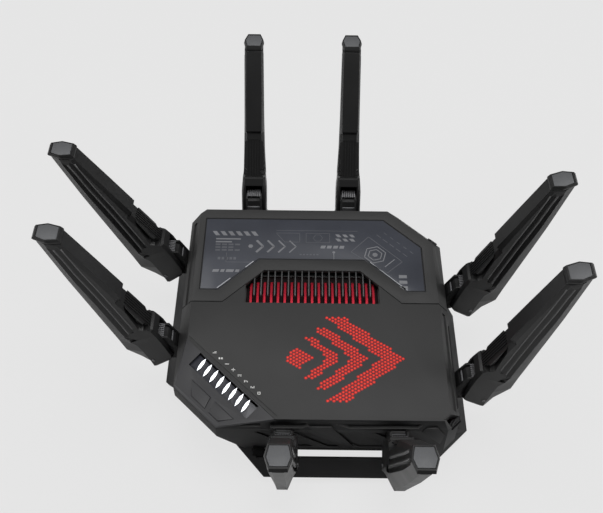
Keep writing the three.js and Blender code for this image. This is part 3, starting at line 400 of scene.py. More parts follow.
on_housing = Matrix.Translation(centre)
screw_place_mm = 62
screw_sunk_mm = 0.25
screw_up_mm = box_mm("bottom_tray")[0].z - screw_sunk_mm
tray_screw = screw(3.2, 1.6)
tray_screws = []
for x in (-screw_place_mm, screw_place_mm):
    for y in (-screw_place_mm, screw_place_mm):
        upside_down = on_housing @ shift(x, y, screw_up_mm) @ Matrix.Rotation(math.pi, 4, "X")
        tray_screws.append(settle(copied("tray_screw", tray_screw), upside_down))
discard(tray_screw)
fit(join("tray_screws", tray_screws), screw_steel, "pin_steel")

# Boards, sockets and keys behind the walls. The sockets are nickel-plated shells on a green
# board, with gilt spring contacts in the network jacks and blue tongues in the two USB ports.

board_green = plastic("board_green", (0.010, 0.045, 0.022), 0.4, 0.5, 0.2, 0.9, 0.25)
for name in ("main_board", "key_board"):
    finish_node(name, board_green, 0)
can_steel = metal("can_steel", (0.45, 0.45, 0.46), 0.3)
finish_node("shield_can", can_steel, 0.2)
port_metal = metal("port_metal", (0.42, 0.42, 0.44), 0.28, (1, 1, 12))
for name in ("lan_jacks", "wan_jacks", "usb_socket"):
    finish_node(name, port_metal, 0.2)
finish_node("dc_inlet", black_plastic, 0.2)

contact_gilt = metal("contact_gilt", (0.72, 0.50, 0.18), 0.25)
contacts_per_jack = 8
contact_pitch = 1.02
contact_behind_mm = 7.0
contact_above_mm = 8.4
contact_slope = math.radians(-14)
jack_pitch = 16.4
contacts = []
for name, count in (("lan_jacks", 4), ("wan_jacks", 2)):
    low, high = box_mm(name)
    for jack in range(count):
        middle = (low.x + high.x) / 2 + (jack - (count - 1) / 2) * jack_pitch
        for wire in range(contacts_per_jack):
            contact = cube(0.42, 9.5, 0.3)
            bpy.ops.object.mode_set(mode="EDIT")
            bpy.ops.mesh.subdivide(number_cuts=1)
            close_mesh()
            across = middle + (wire - (contacts_per_jack - 1) / 2) * contact_pitch
            place = shift(across, high.y - contact_behind_mm, low.z + contact_above_mm)
            contacts.append(settle(contact, place @ Matrix.Rotation(contact_slope, 4, "X")))
fit(join("jack_contacts", contacts), contact_gilt, "port_metal")

tongue_blue = plastic("tongue_blue", (0.02, 0.09, 0.42), 0.45, 0.4, 0.1)
usb_low, usb_high = box_mm("usb_socket")
tongue_behind_mm = 7.6
tongue_thick_mm = 1.8
tongues = []
for level in (0.24, 0.73):
    tongue = cube(10.6, 11, tongue_thick_mm)
    height = usb_low.z + level * (usb_high.z - usb_low.z) + tongue_thick_mm / 2
    settle(tongue, shift((usb_low.x + usb_high.x) / 2, usb_high.y - tongue_behind_mm, height))
    round_edges(tongue, 0.3)
    tongues.append(tongue)
fit(join("usb_tongues", tongues), tongue_blue, "black_plastic")

# Heat sink: nineteen red-anodised fins on a base over the screening can. Their tops rise
# towards the front of the louvred opening, where they show between the louvres.

fin_red = metal("fin_red", (0.43, 0.016, 0.034), 0.5, (1, 1, 8), 0.15, metallic=0.35)
fin_red.node_tree.nodes["Principled BSDF"].inputs["Specular IOR Level"].default_value = 0.2
fin_count = 19
fin_pitch_mm = 6.1
sink_low, sink_high = box_mm("heat_sink")
sink_past_vent_mm = 4
vent_front_mm = sink_low.y + sink_past_vent_mm
vent_rear_mm = sink_high.y - sink_past_vent_mm


def flat_plate(corners, radius_mm=1):
    """Starts a piece as a small flat plate with so many corners, open in edit mode."""
    bpy.ops.object.select_all(action="DESELECT")
    bpy.ops.mesh.primitive_circle_add(vertices=corners, radius=radius_mm * mm, fill_type="NGON")
    bpy.ops.object.mode_set(mode="EDIT")


def move_corner(which, target):
    """Moves one corner of the open mesh to its place."""
    bpy.ops.mesh.select_all(action="DESELECT")
    sheet = bmesh.from_edit_mesh(bpy.context.object.data)
    sheet.verts.ensure_lookup_table()
    corner = sheet.verts[which]
    corner.select = True
    bpy.ops.transform.translate(value=target - corner.co)


def block(name, outline_mm, low_mm, high_mm, place=Matrix.Identity(4)):
    """A flat plate moved out to the outline corner by corner, then extruded to its height."""
    flat_plate(len(outline_mm))
    for index, (x, y) in enumerate(outline_mm):
        move_corner(index, Vector((x, y, low_mm)) * mm)
    bpy.ops.mesh.select_all(action="SELECT")
    bpy.ops.mesh.extrude_region_move(
        TRANSFORM_OT_translate={"value": (0, 0, (high_mm - low_mm) * mm)})
    return settle(bare_piece(name), place)


# Drawn as (along Y, up): a prism across the router, from one X to another
across_x = Matrix(((0, 0, 1, 0), (1, 0, 0, 0), (0, 1, 0, 0), (0, 0, 0, 1)))

fin_base_mm = sink_low.z
plate_top_mm = fin_base_mm + 3
fin_half_mm = 1.1
fin_side = [
    (vent_front_mm - 3.6, fin_base_mm), (vent_rear_mm + 3.6, fin_base_mm),
    (vent_rear_mm + 3.6, 60.5), (vent_rear_mm - 3, 61.5), (vent_rear_mm - 9, 66.8),
    (vent_front_mm + 10, 69.2), (vent_front_mm + 1.2, 68.8), (vent_front_mm - 3.0, 61.0),
]
sink_plate = [
    (sink_low.x, vent_front_mm - 3.8), (sink_high.x, vent_front_mm - 3.8),
    (sink_high.x, vent_rear_mm + 3.8), (sink_low.x, vent_rear_mm + 3.8),
]
fin_middle_mm = (sink_low.x + sink_high.x) / 2
fins = []
for fin in range(fin_count):
    x = fin_middle_mm + (fin - (fin_count - 1) / 2) * fin_pitch_mm
    fins.append(block("fin", fin_side, x - fin_half_mm, x + fin_half_mm, across_x))
heat_fins = join("heat_fins", [block("fin_base", sink_plate, fin_base_mm, plate_top_mm), *fins])
round_edges(heat_fins, 0.25)
fit(heat_fins, fin_red, "red_aluminium", "housing", "heat_sink")

# Louvres: a frame of black plastic clipped in under the opening, with a row of slim dark grey
# slats that stand between the red fins and taper off towards the front.

slat_grey = plastic("slat_grey", (0.044, 0.044, 0.045), 0.45, 0.4)
grille_low, grille_high = box_mm("louvre_grille")
slat_side = [
    (vent_rear_mm + 0.6, 70.2), (vent_rear_mm + 0.6, 73.4), (vent_rear_mm - 6, 73.6),
    (vent_front_mm + 16, 73.6), (vent_front_mm + 9.4, 72.0), (vent_front_mm + 9.0, 70.8),
    (vent_front_mm + 15, 69.6),
]
slat_half_mm = 0.55
full_length_mm = 44.5             # slats further out than this end short of the cut corners
slats = []
for slat in range(fin_count - 1):
    x = fin_middle_mm + (slat - (fin_count - 2) / 2) * fin_pitch_mm
    reach = max(0.0, abs(x - fin_middle_mm) - full_length_mm)
    side = [(min(along, vent_rear_mm + 0.6 - reach), up) for along, up in slat_side]
    slats.append(block("slat", side, x - slat_half_mm, x + slat_half_mm, across_x))
frame_corner_mm = 14
cut_corner_y = grille_high.y - frame_corner_mm
outer_ring = [
    (grille_low.x, grille_low.y), (grille_high.x, grille_low.y), (grille_high.x, cut_corner_y),
    (grille_high.x - frame_corner_mm, grille_high.y),
    (grille_low.x + frame_corner_mm, grille_high.y), (grille_low.x, cut_corner_y),
]
rim_middle = (grille_low + grille_high) / 2
hole_share_x = 0.945
hole_share_y = 0.82
inner_ring = [
    (rim_middle.x + (x - rim_middle.x) * hole_share_x,
     rim_middle.y + (y - rim_middle.y) * hole_share_y)
    for x, y in outer_ring
]
frame_low_mm = grille_low.z
frame_high_mm = grille_high.z - 8.5
past_mm = 2                       # how far the cutter reaches past the frame
grille_frame = block("grille_frame", outer_ring, frame_low_mm, frame_high_mm)
grille_hole = block("grille_hole", inner_ring, frame_low_mm - past_mm, grille_high.z + past_mm)
carve(grille_frame, grille_hole)
louvres = join("louvres", [grille_frame, *slats])
round_edges(louvres, 0.2)
fit(louvres, slat_grey, "black_plastic", "housing", "louvre_grille")

# The frame below the slats is matt and painted dark red: painted shade under the slats, with a
# painted trace of red light cast off the fins
vent_shade = plastic("vent_shade", (0.0110, 0.0060, 0.0064), 0.8, 0.15)
louvres.data.materials.append(vent_shade)
shade_below_mm = 65.0
for face in louvres.data.polygons:
    face.material_index = 1 if face.center.z < shade_below_mm * mm else 0

# Front deck: the moulded, fine-grained lid over the front half. It has a ribbed air notch in
# its front right corner, a fine line scored beside the control corner, channels in its front
# edge with raised bands below them, and a slot at the seam; near-black sheets of painted shade
# sit in what is open, and its front-facing faces are painted darker as shade.

deck_plastic = plastic("deck_plastic", (0.026, 0.026, 0.026), 0.62, 0.3, 0.5, 0.3, 0.06)


def copy_of_node(node, name):
    """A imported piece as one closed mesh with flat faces, ready to be cut."""
    made = copied(name, nodes[node])
    pick(made)
    open_mesh()
    bpy.ops.mesh.remove_doubles(threshold=0.00001)
    bpy.ops.mesh.dissolve_limited(angle_limit=math.radians(0.5))
    bpy.ops.mesh.customdata_custom_splitnormals_clear()
    close_mesh()
    return made


front_deck = copy_of_node("front_deck", "deck_lid")
deck_top_mm = box_mm("front_deck")[1].z
under_deck_mm = 58
above_deck_mm = 80
line_deep_mm = 0.35
notch_outline = [
    (102.6, -112.3), (108.2, -107.4), (118.4, -102.2), (119.4, -106.0), (112.4, -113.2)]
line_outline = [(-108.0, -34.0), (-107.4, -33.4), (-30.4, -110.4), (-31.0, -111.0)]
slot_outline = [(116.0, -97.5), (118.0, -94.5), (118.4, -11), (116.6, -13)]
for name, outline, bottom_mm in (
    ("notch", notch_outline, under_deck_mm), ("line", line_outline, deck_top_mm - line_deep_mm),
    ("slot", slot_outline, under_deck_mm),
):
    carve(front_deck, block(name, outline, bottom_mm, above_deck_mm, on_housing))

# Drawn as (along X, up): a prism from a lower Y to a higher one
from_front = on_housing @ Matrix(((1, 0, 0, 0), (0, 0, 1, 0), (0, 1, 0, 0), (0, 0, 0, 1)))
before_front_mm = -120
channel_back_mm = -112.9
front_channels = [
    [(17.0, 69.6), (27.5, 64.2), (83.5, 65.2), (88.0, 70.4)],
    [(-36.0, 70.8), (-36.0, 63.8), (-10.0, 64.2), (-4.2, 67.2), (-8.0, 70.6)],
    [(-62.0, 69.0), (-60.0, 65.4), (-44.0, 65.2), (-44.0, 69.4)],
]
for outline in front_channels:
    carve(front_deck, block("channel", outline, before_front_mm, channel_back_mm, from_front))
round_edges(front_deck, 0.4)

# The seam to the rear cover is opened a little by drawing the deck in towards its front
drawn_in = 0.9945
deck_front = Matrix.Translation((0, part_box("front_deck")[0].y, 0))
settle(front_deck, deck_front @ Matrix.Scale(drawn_in, 4, (0, 1, 0)) @ deck_front.inverted())
fit(front_deck, deck_plastic, "deck_plastic", "housing", "front_deck")
# Front-facing faces of the deck take the darker black plastic: painted shade on the side turned
# away from the lamps
front_deck.data.materials.append(black_plastic)
for face in front_deck.data.polygons:
    face.material_index = 1 if face.normal.y < -0.8 and face.normal.z < 0.4 else 0

# Near-black sheets of painted shade, laid into the channels, the notch, the slot and under the
# seam, where these openings lie in shadow
painted_shade_black = plastic("painted_shade_black", (0.0022, 0.0022, 0.0022), 0.85, 0.08)
shade_sheets = [
    block("shade_sheet", outline, channel_back_mm, channel_back_mm + 0.3, from_front)
    for outline in front_channels
]
notch_floor = [(x - 0.3, y + 0.6) for x, y in notch_outline]
slot_floor = [(x - 0.6, y) for x, y in slot_outline]
floor_low_mm = 58.5
shade_sheets.append(block("shade_sheet", notch_floor, floor_low_mm, floor_low_mm + 2.0, on_housing))
shade_sheets.append(block("shade_sheet", slot_floor, floor_low_mm, floor_low_mm + 1.5, on_housing))
under_seam = [
    (110.6, 59.0), (111.2, 65.7), (107.6, 68.7), (104.4, 71.8),
    (64.0, 71.8), (64.0, 70.6), (103.4, 70.6), (107.0, 59.0),
]
seam_front_mm = 1.8
seam_rear_mm = 5.2
for side in (-1, 1):
    half_seam = [(side * x, up) for x, up in under_seam]
    shade_sheets.append(block("shade_sheet", half_seam, seam_front_mm, seam_rear_mm, from_front))
fit(join("painted_shade_sheets", shade_sheets), painted_shade_black, "black_plastic")

# Two raised slanted bands cross the front wall below the lip
band_front_mm = -117.0
band_back_mm = -115.0
band_outlines = [
    [(-5.6, 67.6), (13.4, 67.8), (32.4, 36.4), (21.4, 35.6)],
    [(86.4, 62.0), (90.0, 67.0), (98.0, 68.0), (105.4, 58.0), (103.4, 42.0)],
]
front_bands = join("front_bands", [
    block("front_band", outline, band_front_mm, band_back_mm, from_front)
    for outline in band_outlines
])
round_edges(front_bands, 0.5)
fit(front_bands, black_plastic, "black_plastic")

# A web in the corner where the cross bar of each stand meets its longer leg, near-black as painted
# shade in that corner
web_outline = [(-52.5, 17.6), (-37.5, 19.0), (-37.5, 31.0), (-50.5, 33.0)]
web_front_mm = -119.4
web_back_mm = -113.0
web = block("web", web_outline, web_front_mm, web_back_mm, from_front)
round_edges(web, 0.5)
half_turn = on_housing @ Matrix.Rotation(math.pi, 4, "Z") @ on_housing.inverted()
stand_webs = join("stand_webs", [web, settle(copied("web", web), half_turn)])
fit(stand_webs, painted_shade_black, "black_plastic")

# Two short ribs stand in the notch
rib_wide_mm = 1.2
rib_low_mm = 62.5
rib_high_mm = 66.5
notch_ribs = []
for share in (0.36, 0.68):
    start_x, start_y = Vector((105.2, -112.4)).lerp(Vector((113.0, -111.6)), share)
    end_x, end_y = Vector((108.6, -108.8)).lerp(Vector((116.6, -104.6)), share)
    rib = [
        (start_x, start_y), (start_x + rib_wide_mm, start_y + 0.2),
        (end_x + rib_wide_mm, end_y + 0.2), (end_x, end_y),
    ]
    notch_ribs.append(block("rib", rib, rib_low_mm, rib_high_mm, on_housing))
notch_ribs = join("notch_ribs", notch_ribs)
round_edges(notch_ribs, 0.2)
fit(notch_ribs, black_plastic, "black_plastic")

# Lit field: small hexagonal red lenses, set flush in staggered rows in the deck over the
# diffuser. Together they draw a plain design of nested arrowheads.


def lamp_plastic(name, colour, strength):
    """Lit plastic: glows in its own colour, a little uneven from place to place."""
    made, tree, shader = new_paint(name)
    shader.inputs["Roughness"].default_value = 0.45
    shader.inputs["Specular IOR Level"].default_value = 0.12
    shader.inputs["Emission Strength"].default_value = strength
    cloud = noise(tree, object_place(tree), 260)
    mottled(tree, cloud, colour, 0.15,
            shader.inputs["Base Color"], shader.inputs["Emission Color"])
    return made


lens_red = lamp_plastic("lens_red", (0.30, 0.010, 0.014), 0.46)
lens_core = lamp_plastic("lens_core", (0.48, 0.046, 0.024), 0.62)
diffuser_red = lamp_plastic("diffuser_red", (0.5, 0.02, 0.015), 0.5)
finish_node("deck_diffuser", diffuser_red, 0)

lens_pitch_x = 5.1
lens_pitch_y = 1.66
lens_radius_mm = 1.5
lens_side_mm = 0.12
lens_crown_mm = 0.14
lens_rim_mm = 0.62
lens_sunk_mm = 0.06
field_middle_y = -55


def inside(x, y, outline):
    """Whether a point lies inside a closed outline."""
    count = 0
    for (x1, y1), (x2, y2) in zip(outline, outline[1:] + outline[:1]):
        if (y1 > y) != (y2 > y) and x < x1 + (y - y1) * (x2 - x1) / (y2 - y1):
            count += 1
    return count % 2 == 1


def arrowhead(tip_x, thick, reach, tail):
    """Outline of one arrowhead that points right, with its arms cut off upright."""
    spread = reach * tail
    upper = [
        (tip_x, field_middle_y), (tip_x - reach, field_middle_y + spread),
        (tip_x - reach - thick, field_middle_y + spread),
    ]
    lower = [
        (tip_x - thick * 1.25, field_middle_y), (tip_x - reach - thick, field_middle_y - spread),
        (tip_x - reach, field_middle_y - spread),
    ]
    return upper + lower


lit_shapes = [
    arrowhead(76, 17, 50, 0.84), arrowhead(46, 12, 36, 0.86), arrowhead(22, 9, 24, 0.88),
    [(-2, field_middle_y), (-14, field_middle_y + 11), (-27, field_middle_y),
     (-14, field_middle_y - 11)],
]
flat_plate(6, lens_radius_mm)
bpy.ops.mesh.extrude_region_move(TRANSFORM_OT_translate={"value": (0, 0, lens_side_mm * mm)})
bpy.ops.mesh.inset(thickness=lens_rim_mm * mm, depth=lens_crown_mm * mm)
lens = bare_piece("lens")
lens.data.materials.append(lens_red)
lens.data.materials.append(lens_core)
for face in lens.data.polygons:
    flat_top = face.center.z > (lens_side_mm + lens_crown_mm - 0.02) * mm
    face.material_index = 1 if flat_top else 0
lenses = []
for row in range(-64, 1):
    for column in range(-8, 17):
        x = (column + (row % 2) / 2) * lens_pitch_x
        y = row * lens_pitch_y
        if any(inside(x, y, shape) for shape in lit_shapes):
            copy = copied("lens", lens)
            copy.location = centre + Vector((x, y, deck_top_mm - lens_sunk_mm)) * mm
            lenses.append(copy)
discard(lens)
lit_field = settle(join("lit_field", lenses))
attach(lit_field, "housing")

# Marks: eight tiny signs beside the lights, each of a few plain strokes, pad-printed in
# pale grey on the deck along the edge of the control corner.

mark_grey = plastic("mark_grey", (0.55, 0.55, 0.54), 0.6, 0.3, 0.1)
print_mm = 0.05
guide_low, guide_high = box_mm("light_guide")
guide_middle = (guide_low + guide_high) / 2 - centre / mm
along_corner = Vector((1, -1)).normalized()
out_of_corner = Vector((-1, -1)).normalized()
light_row = along_corner.dot(guide_middle.xy)
light_pitch = 7.86
mark_depth = 95.8
sign_strokes = [
    [(-1.6, -0.5, 1.6, 0.1), (-0.3, 0.8, 1.6, 1.3)],
    [(-1.7, -0.9, -0.5, 0.9), (0.3, -0.9, 1.6, 0.9)],
    [(-1.7, -0.35, 1.7, 0.35)],
    [(-1.6, -0.3, 1.6, 0.3), (-0.3, -1.6, 0.3, -0.7), (-0.3, 0.7, 0.3, 1.6)],
    [(-1.6, 0.3, 1.6, 0.8), (-1.6, -0.8, -0.4, -0.3), (0.4, -0.8, 1.6, -0.3)],
    [(-1.5, -0.9, -0.8, 0.9), (-0.3, -0.3, 0.4, 0.9), (0.8, -0.9, 1.5, 0.3)],
    [(-1.5, -1.0, -0.9, 1.0), (-0.3, -1.0, 0.3, 0.2), (0.9, -1.0, 1.5, 1.0)],
    [(-1.2, -1.2, 1.2, -0.7), (-1.2, 0.7, 1.2, 1.2), (-1.2, -0.7, -0.7, 0.7),
     (0.7, -0.7, 1.2, 0.7)],
]
marks = []
for index, strokes in enumerate(sign_strokes):
    along = light_row + (index - (len(sign_strokes) - 1) / 2) * light_pitch
    spot = along_corner * along + out_of_corner * mark_depth
    turned = on_housing @ shift(spot.x, spot.y, 0)
    for x1, y1, x2, y2 in strokes:
        stroke = [(x1, y1), (x2, y1), (x2, y2), (x1, y2)]
        marks.append(block("stroke", stroke, deck_top_mm, deck_top_mm + print_mm, turned))
fit(join("deck_marks", marks), mark_grey, "deck_plastic")

# Rear cover: the lid over the rear half, moulded in the same grained plastic, with a broad
# frame around the glazed panel. Its edges at the panel and at the seam are eased.

finish_node("rear_cover", deck_plastic, 0.7)

# Glazed panel: clear smoked acrylic with a polished face. A pale grey design of bars,
# chevrons and hexagons is printed on it, and fine bright lines along its slanted bay are painted
# highlights of the bay's edges.

smoked = plastic("smoked_acrylic", (0.036, 0.039, 0.049), 0.34, 0.3, 0.02, 0.6, 0.22)
finish_node("rear_panel", smoked, 0.3)

print_grey = plastic("print_grey", (0.150, 0.153, 0.163), 0.35, 0.4, 0.1, 0.6, 0.35)
print_faint = plastic("print_faint", (0.074, 0.077, 0.087), 0.35, 0.4, 0.1, 0.6, 0.3)
# Bright grey for the lines along the slanted bay: a painted highlight of its edges
bay_highlight = plastic("bay_highlight", (0.30, 0.31, 0.33), 0.3, 0.5, 0.1)
panel_low, panel_high = box_mm("rear_panel")
panel_top_mm = panel_high.z
panel_middle = (panel_low + panel_high) / 2 - centre / mm


def printed(outline):
    """One printed patch on the panel, given from the middle of the panel."""
    moved = [(x + panel_middle.x, y + panel_middle.y) for x, y in outline]
    return block("patch", moved, panel_top_mm, panel_top_mm + print_mm, on_housing)


def bar(x, y, width, height, lean=0.0):
    """A bar from its lower left corner, its top pushed over by lean."""
    return [(x, y), (x + width, y), (x + width + lean, y + height), (x + lean, y + height)]


def stroke_line(x1, y1, x2, y2, width):
    """A thin line between two points."""
    run = Vector((x2 - x1, y2 - y1)).normalized()
    side = Vector((-run.y, run.x)) * width / 2
    return [(x1 - side.x, y1 - side.y), (x2 - side.x, y2 - side.y),
            (x2 + side.x, y2 + side.y), (x1 + side.x, y1 + side.y)]


def ring_of(corners, width):
    """The sides of a closed outline as thin lines."""
    return [stroke_line(*a, *b, width) for a, b in zip(corners, corners[1:] + corners[:1])]


def hexagon(x, y, radius, turn=0.0):
    angles = [turn + math.pi / 3 * side for side in range(6)]
    return [(x + radius * math.cos(a), y + radius * math.sin(a)) for a in angles]


# Left: slanted bars over two long ones, a grid of cells, and a short row beside a bent line
clear = [bar(-90.5 + 7.2 * index, 21.3, 4.0, 5.2, -3.4) for index in range(6)]
clear += [bar(-90.0, 16.2, 23.0, 1.6), bar(-90.0, 12.6, 15.0, 1.6)]
faint = [
    bar(-90.0 + 6.0 * column, 9.2 - 3.4 * row, 4.6, 2.0)
    for row in range(3) for column in range(4 - row % 2)
]
faint += [stroke_line(-79.2, 0.4, -79.2, -10.9, 0.5), stroke_line(-79.2, -10.9, -56.0, -10.9, 0.5)]
faint += [bar(-87.0 + 3.6 * index, -8.0, 2.4, 3.0) for index in range(5)]
for x, width in ((-91.0, 5.6), (-83.8, 3.4), (-78.8, 6.8), (-70.4, 3.4)):
    clear.append(bar(x, -22.6, width, 3.0, 0.8))

# Middle: four chevrons that thin out to the right, short bars, and two framed fields
for index in range(4):
    x = -52.0 + 10.2 * index
    width = 2.2 - 0.35 * index
    clear.append(stroke_line(x, 15.6, x + 6.2, 8.2, width))
    clear.append(stroke_line(x + 6.2, 8.6, x, 1.2, width))
clear.append(hexagon(-57.4, 8.4, 2.3))
faint += [bar(-12.0 + 3.1 * index, -1.8, 2.0, 1.5) for index in range(6)]
clear += [bar(7.2 + 5.8 * index, 6.6, 4.2, 3.4, 0.9) for index in range(4)]
clear += [
    bar(23.6 + 6.4 * index, 20.6 - 5.2 * row, 3.6, 3.4, -2.4)
    for row in range(2) for index in range(3)
]
clear += [hexagon(19.6, 2.0, 1.4), stroke_line(19.6, 0.8, 19.6, -6.8, 0.6)]
faint += ring_of([(-34, 25), (-12, 25), (-12, 14), (-26, 14)], 0.5)
faint += ring_of([(-6, 25), (16, 25), (16, 13.6), (-6, 13.6)], 0.5)
faint += ring_of(hexagon(5, 19.3, 4.4), 0.5)
faint.append(stroke_line(-34, 28.2, 42, 28.2, 0.5))

# Right: nested hexagons in a slanted frame, with a flight of short strokes along it
faint += ring_of([(35.6, 2.8), (52.4, 21.4), (82.2, -8.4), (67.2, -22.2)], 0.6)
for radius in (10.2, 6.6):
    clear += ring_of(hexagon(57.6, -0.4, radius, -0.78), 0.9)
clear += [hexagon(57.6, -0.4, 2.6, -0.78), stroke_line(66.0, -14.6, 75.4, -5.6, 0.9)]
for index in range(5):
    share = index / 5
    x, y = 60.0 + 29.0 * share, 24.2 - 28.4 * share
    faint.append(stroke_line(x, y, x + 3.8, y - 3.7, 0.6))
    faint.append(stroke_line(x + 7.0, y + 2.6, x + 9.6, y, 0.6))
clear += [bar(78.0, -40.4 + 6.4 * index, 7.2, 3.6) for index in range(3)]

# Bright lines along the slanted bay as painted highlights, and a black line along the panel's
# edge, painted shade of the gap to the cover, around the whole print
bay_highlight_lines = [stroke_line(*ends, 0.9) for ends in (
    (-85.3, -41.0, -74.0, -29.7), (-61.0, -16.7, -54.0, -9.7), (52.6, -9.4, 84.6, -41.4))]
edge_shade = ring_of([
    (-100.5, -42.2), (-85.0, -42.2), (-49.5, -6.7), (49.0, -6.7), (84.4, -42.2),
    (100.4, -42.2), (100.4, 8.8), (66.9, 42.2), (-100.5, 42.2),
], 0.8)
for name, outlines, ink in (
    ("panel_edge_shade", edge_shade, black_plastic), ("panel_bay_highlights", bay_highlight_lines, bay_highlight),
    ("panel_print", clear, print_grey), ("panel_faint_print", faint, print_faint),
):
    fit(join(name, [printed(outline) for outline in outlines]), ink, "smoked_acrylic")

# Control corner: a sloping plate of fine-grained dark plastic, let into the front left corner.
# A light guide shows eight white bars through its trough, and two outlined keys of the same
# plastic sit below them.

corner_plastic = plastic("corner_plastic", (0.030, 0.030, 0.032), 0.5, 0.35, 0.4, 0.3, 0.08)
finish_node("control_panel", corner_plastic, 0.35)
for name in ("mode_key", "link_key"):
    finish_node(name, corner_plastic, 0.5)

guide_mesh = nodes["light_guide"].data
upward = [face for face in guide_mesh.polygons if face.normal.z > 0.5]
facet_up = max(upward, key=lambda face: face.area).normal
bar_level = max(facet_up.dot(vertex.co) for vertex in guide_mesh.vertices) - 0.3 * mm
guide_light, guide_tree, guide_shader = new_paint("guide_light")
guide_shader.inputs["Roughness"].default_value = 0.35
guide_shader.inputs["Emission Color"].default_value = (0.93, 0.96, 1.0, 1)
guide_height = guide_tree.nodes.new("ShaderNodeVectorMath")
guide_height.operation = "DOT_PRODUCT"
guide_height.inputs[1].default_value = facet_up
guide_tree.links.new(object_place(guide_tree), guide_height.inputs[0])
guide_above = guide_tree.nodes.new("ShaderNodeMapRange")
guide_above.inputs["From Min"].default_value = bar_level - 0.1 * mm
guide_above.inputs["From Max"].default_value = bar_level + 0.1 * mm
guide_above.inputs["To Max"].default_value = 1.25
guide_tree.links.new(guide_height.outputs["Value"], guide_above.inputs["Value"])
guide_lit = guide_above.outputs["Result"]
guide_tree.links.new(guide_lit, guide_shader.inputs["Emission Strength"])
mixed(guide_tree, guide_lit, (0.018, 0.019, 0.026), (0.8, 0.82, 0.86),
      guide_shader.inputs["Base Color"])
finish_node("light_guide", guide_light, 0.2)

# Other keys: the round key on the rear right bevel, and the power and reset keys in the
# wall below it. All three are black plastic, with a small radius on the finger side.

for name in ("round_key", "power_button", "reset_button"):
    finish_node(name, black_plastic, 0.5)

# Hinge brackets: eight fixed knuckles whose tenons pass through the walls. Each is a black
# die casting with a sunk window behind its barrel and a toothed zinc band pressed on top.

turns = {"front": 0, "right": 90, "rear": 180, "left": 270}
stations = {}
for joint in frame["joints"]:
    if joint["child"].startswith("antenna_"):
        station = joint["child"][len("antenna_"):]
        foot = Matrix.Translation(Vector(joint["pos_m"]))
        foot = foot @ Matrix.Rotation(math.radians(turns[station.split("_")[0]]), 4, "Z")
        lean = math.radians(-joint["range_deg"][0])
        stations[station] = (foot, foot @ Matrix.Rotation(lean, 4, "X"))

# Drawn as (out from the router, up): a prism along the hinge axis
beside = Matrix(((0, 0, 1, 0), (-1, 0, 0, 0), (0, 1, 0, 0), (0, 0, 0, 1)))
barrel_mm = 10.6
end_reach_mm = 17.5
side_reach_mm = 15.5
band_teeth = 7
band_half_mm = 6.6


def spun(name, profile, start, sweep, steps):
    """A ring segment about the hinge axis, from a profile of (along, radius) corners."""
    flat = block(name, profile, 0, 0.01)
    stand = Matrix(((1, 0, 0, 0), (0, 0, -1, 0), (0, 1, 0, 0), (0, 0, 0, 1)))
    settle(flat, Matrix.Rotation(start, 4, "X") @ stand)
    open_mesh()
    bpy.ops.mesh.remove_doubles(threshold=0.00003)
    bpy.ops.mesh.select_all(action="SELECT")
    bpy.ops.mesh.spin(steps=steps, angle=sweep, center=(0, 0, 0), axis=(1, 0, 0))
    bpy.ops.mesh.select_all(action="SELECT")
    bpy.ops.mesh.remove_doubles(threshold=0.000005)
    close_mesh()
    return settle(flat)


band_zinc = metal("band_zinc", (0.105, 0.105, 0.11), 0.6, depth=0.15, metallic=0.3)
window_half_mm = 5.9
for reach, sides in ((end_reach_mm, ("front", "rear")), (side_reach_mm, ("left", "right"))):
    sample = next(name for name in stations if name.split("_")[0] in sides)
    knuckle = copy_of_node(f"hinge_bracket_{sample}", "knuckle")
    settle(knuckle, stations[sample][0].inverted())
    window = [
        (-4.6, 14), (-4.4, 7.4), (-7.4, 6.4), (-9.4, 2.0),
        (4.4 - reach, -1.2), (1.6 - reach, 0.6), (-8, 14),
    ]
    carve(knuckle, block("window", window, -window_half_mm, window_half_mm, beside))
    round_edges(knuckle, 0.35)
    for station, (foot, _) in stations.items():
        if station.split("_")[0] in sides:
            bracket = settle(copied(f"bracket_{station}", knuckle), foot)
            fit(bracket, black_plastic, "black_plastic", "housing", f"hinge_bracket_{station}")
    discard(knuckle)

tooth_pitch = 2 * band_half_mm / band_teeth
tooth_gap_mm = 0.34               # half of the gap between two teeth
tooth_ease_mm = 0.16
tooth_foot_mm = barrel_mm - 0.4
tooth_shoulder_mm = barrel_mm + 0.75
tooth_top_mm = barrel_mm + 0.95
band_start = math.radians(24)
band_sweep = math.radians(48)
teeth = []
for tooth in range(band_teeth):
    low = -band_half_mm + tooth * tooth_pitch + tooth_gap_mm
    high = low + tooth_pitch - 2 * tooth_gap_mm
    profile = [
        (low, tooth_foot_mm), (low, tooth_shoulder_mm), (low + tooth_ease_mm, tooth_top_mm),
        (high - tooth_ease_mm, tooth_top_mm), (high, tooth_shoulder_mm), (high, tooth_foot_mm),
    ]
    teeth.append(spun("tooth", profile, band_start, band_sweep, 6))
band = join("band", teeth)
sill_half_mm = 6.2
sill_outline = [(-10.2, 2.2), (-11.2, 1.8), (-11.4, -1.0), (-10.4, -1.2)]
sill = block("sill", sill_outline, -sill_half_mm, sill_half_mm, beside)
round_edges(sill, 0.2)
for station, (foot, _) in stations.items():
    trim = [settle(copied("trim", source), foot) for source in (band, sill)]
    fit(join(f"toothed_band_{station}", trim), band_zinc, "pin_steel")
discard(band, sill)

# Hinge pins: eight plain rods of ground steel, each pressed through the knuckle. Their ends
# turn in blind bores in the two cheeks of the antenna's foot.

pin_steel = metal("pin_steel", (0.5, 0.5, 0.51), 0.25)
for station in stations:
    finish_node(f"hinge_pin_{station}", pin_steel, 0.2)

# Antennas: eight like paddles of satin black plastic, each two shells with a sloping head.
# Two long grooves run up each broad face, each with a raised crest beside it that carries a
# painted highlight, and the foot forks around the knuckle and has a pocket with a thin wedge in
# it.

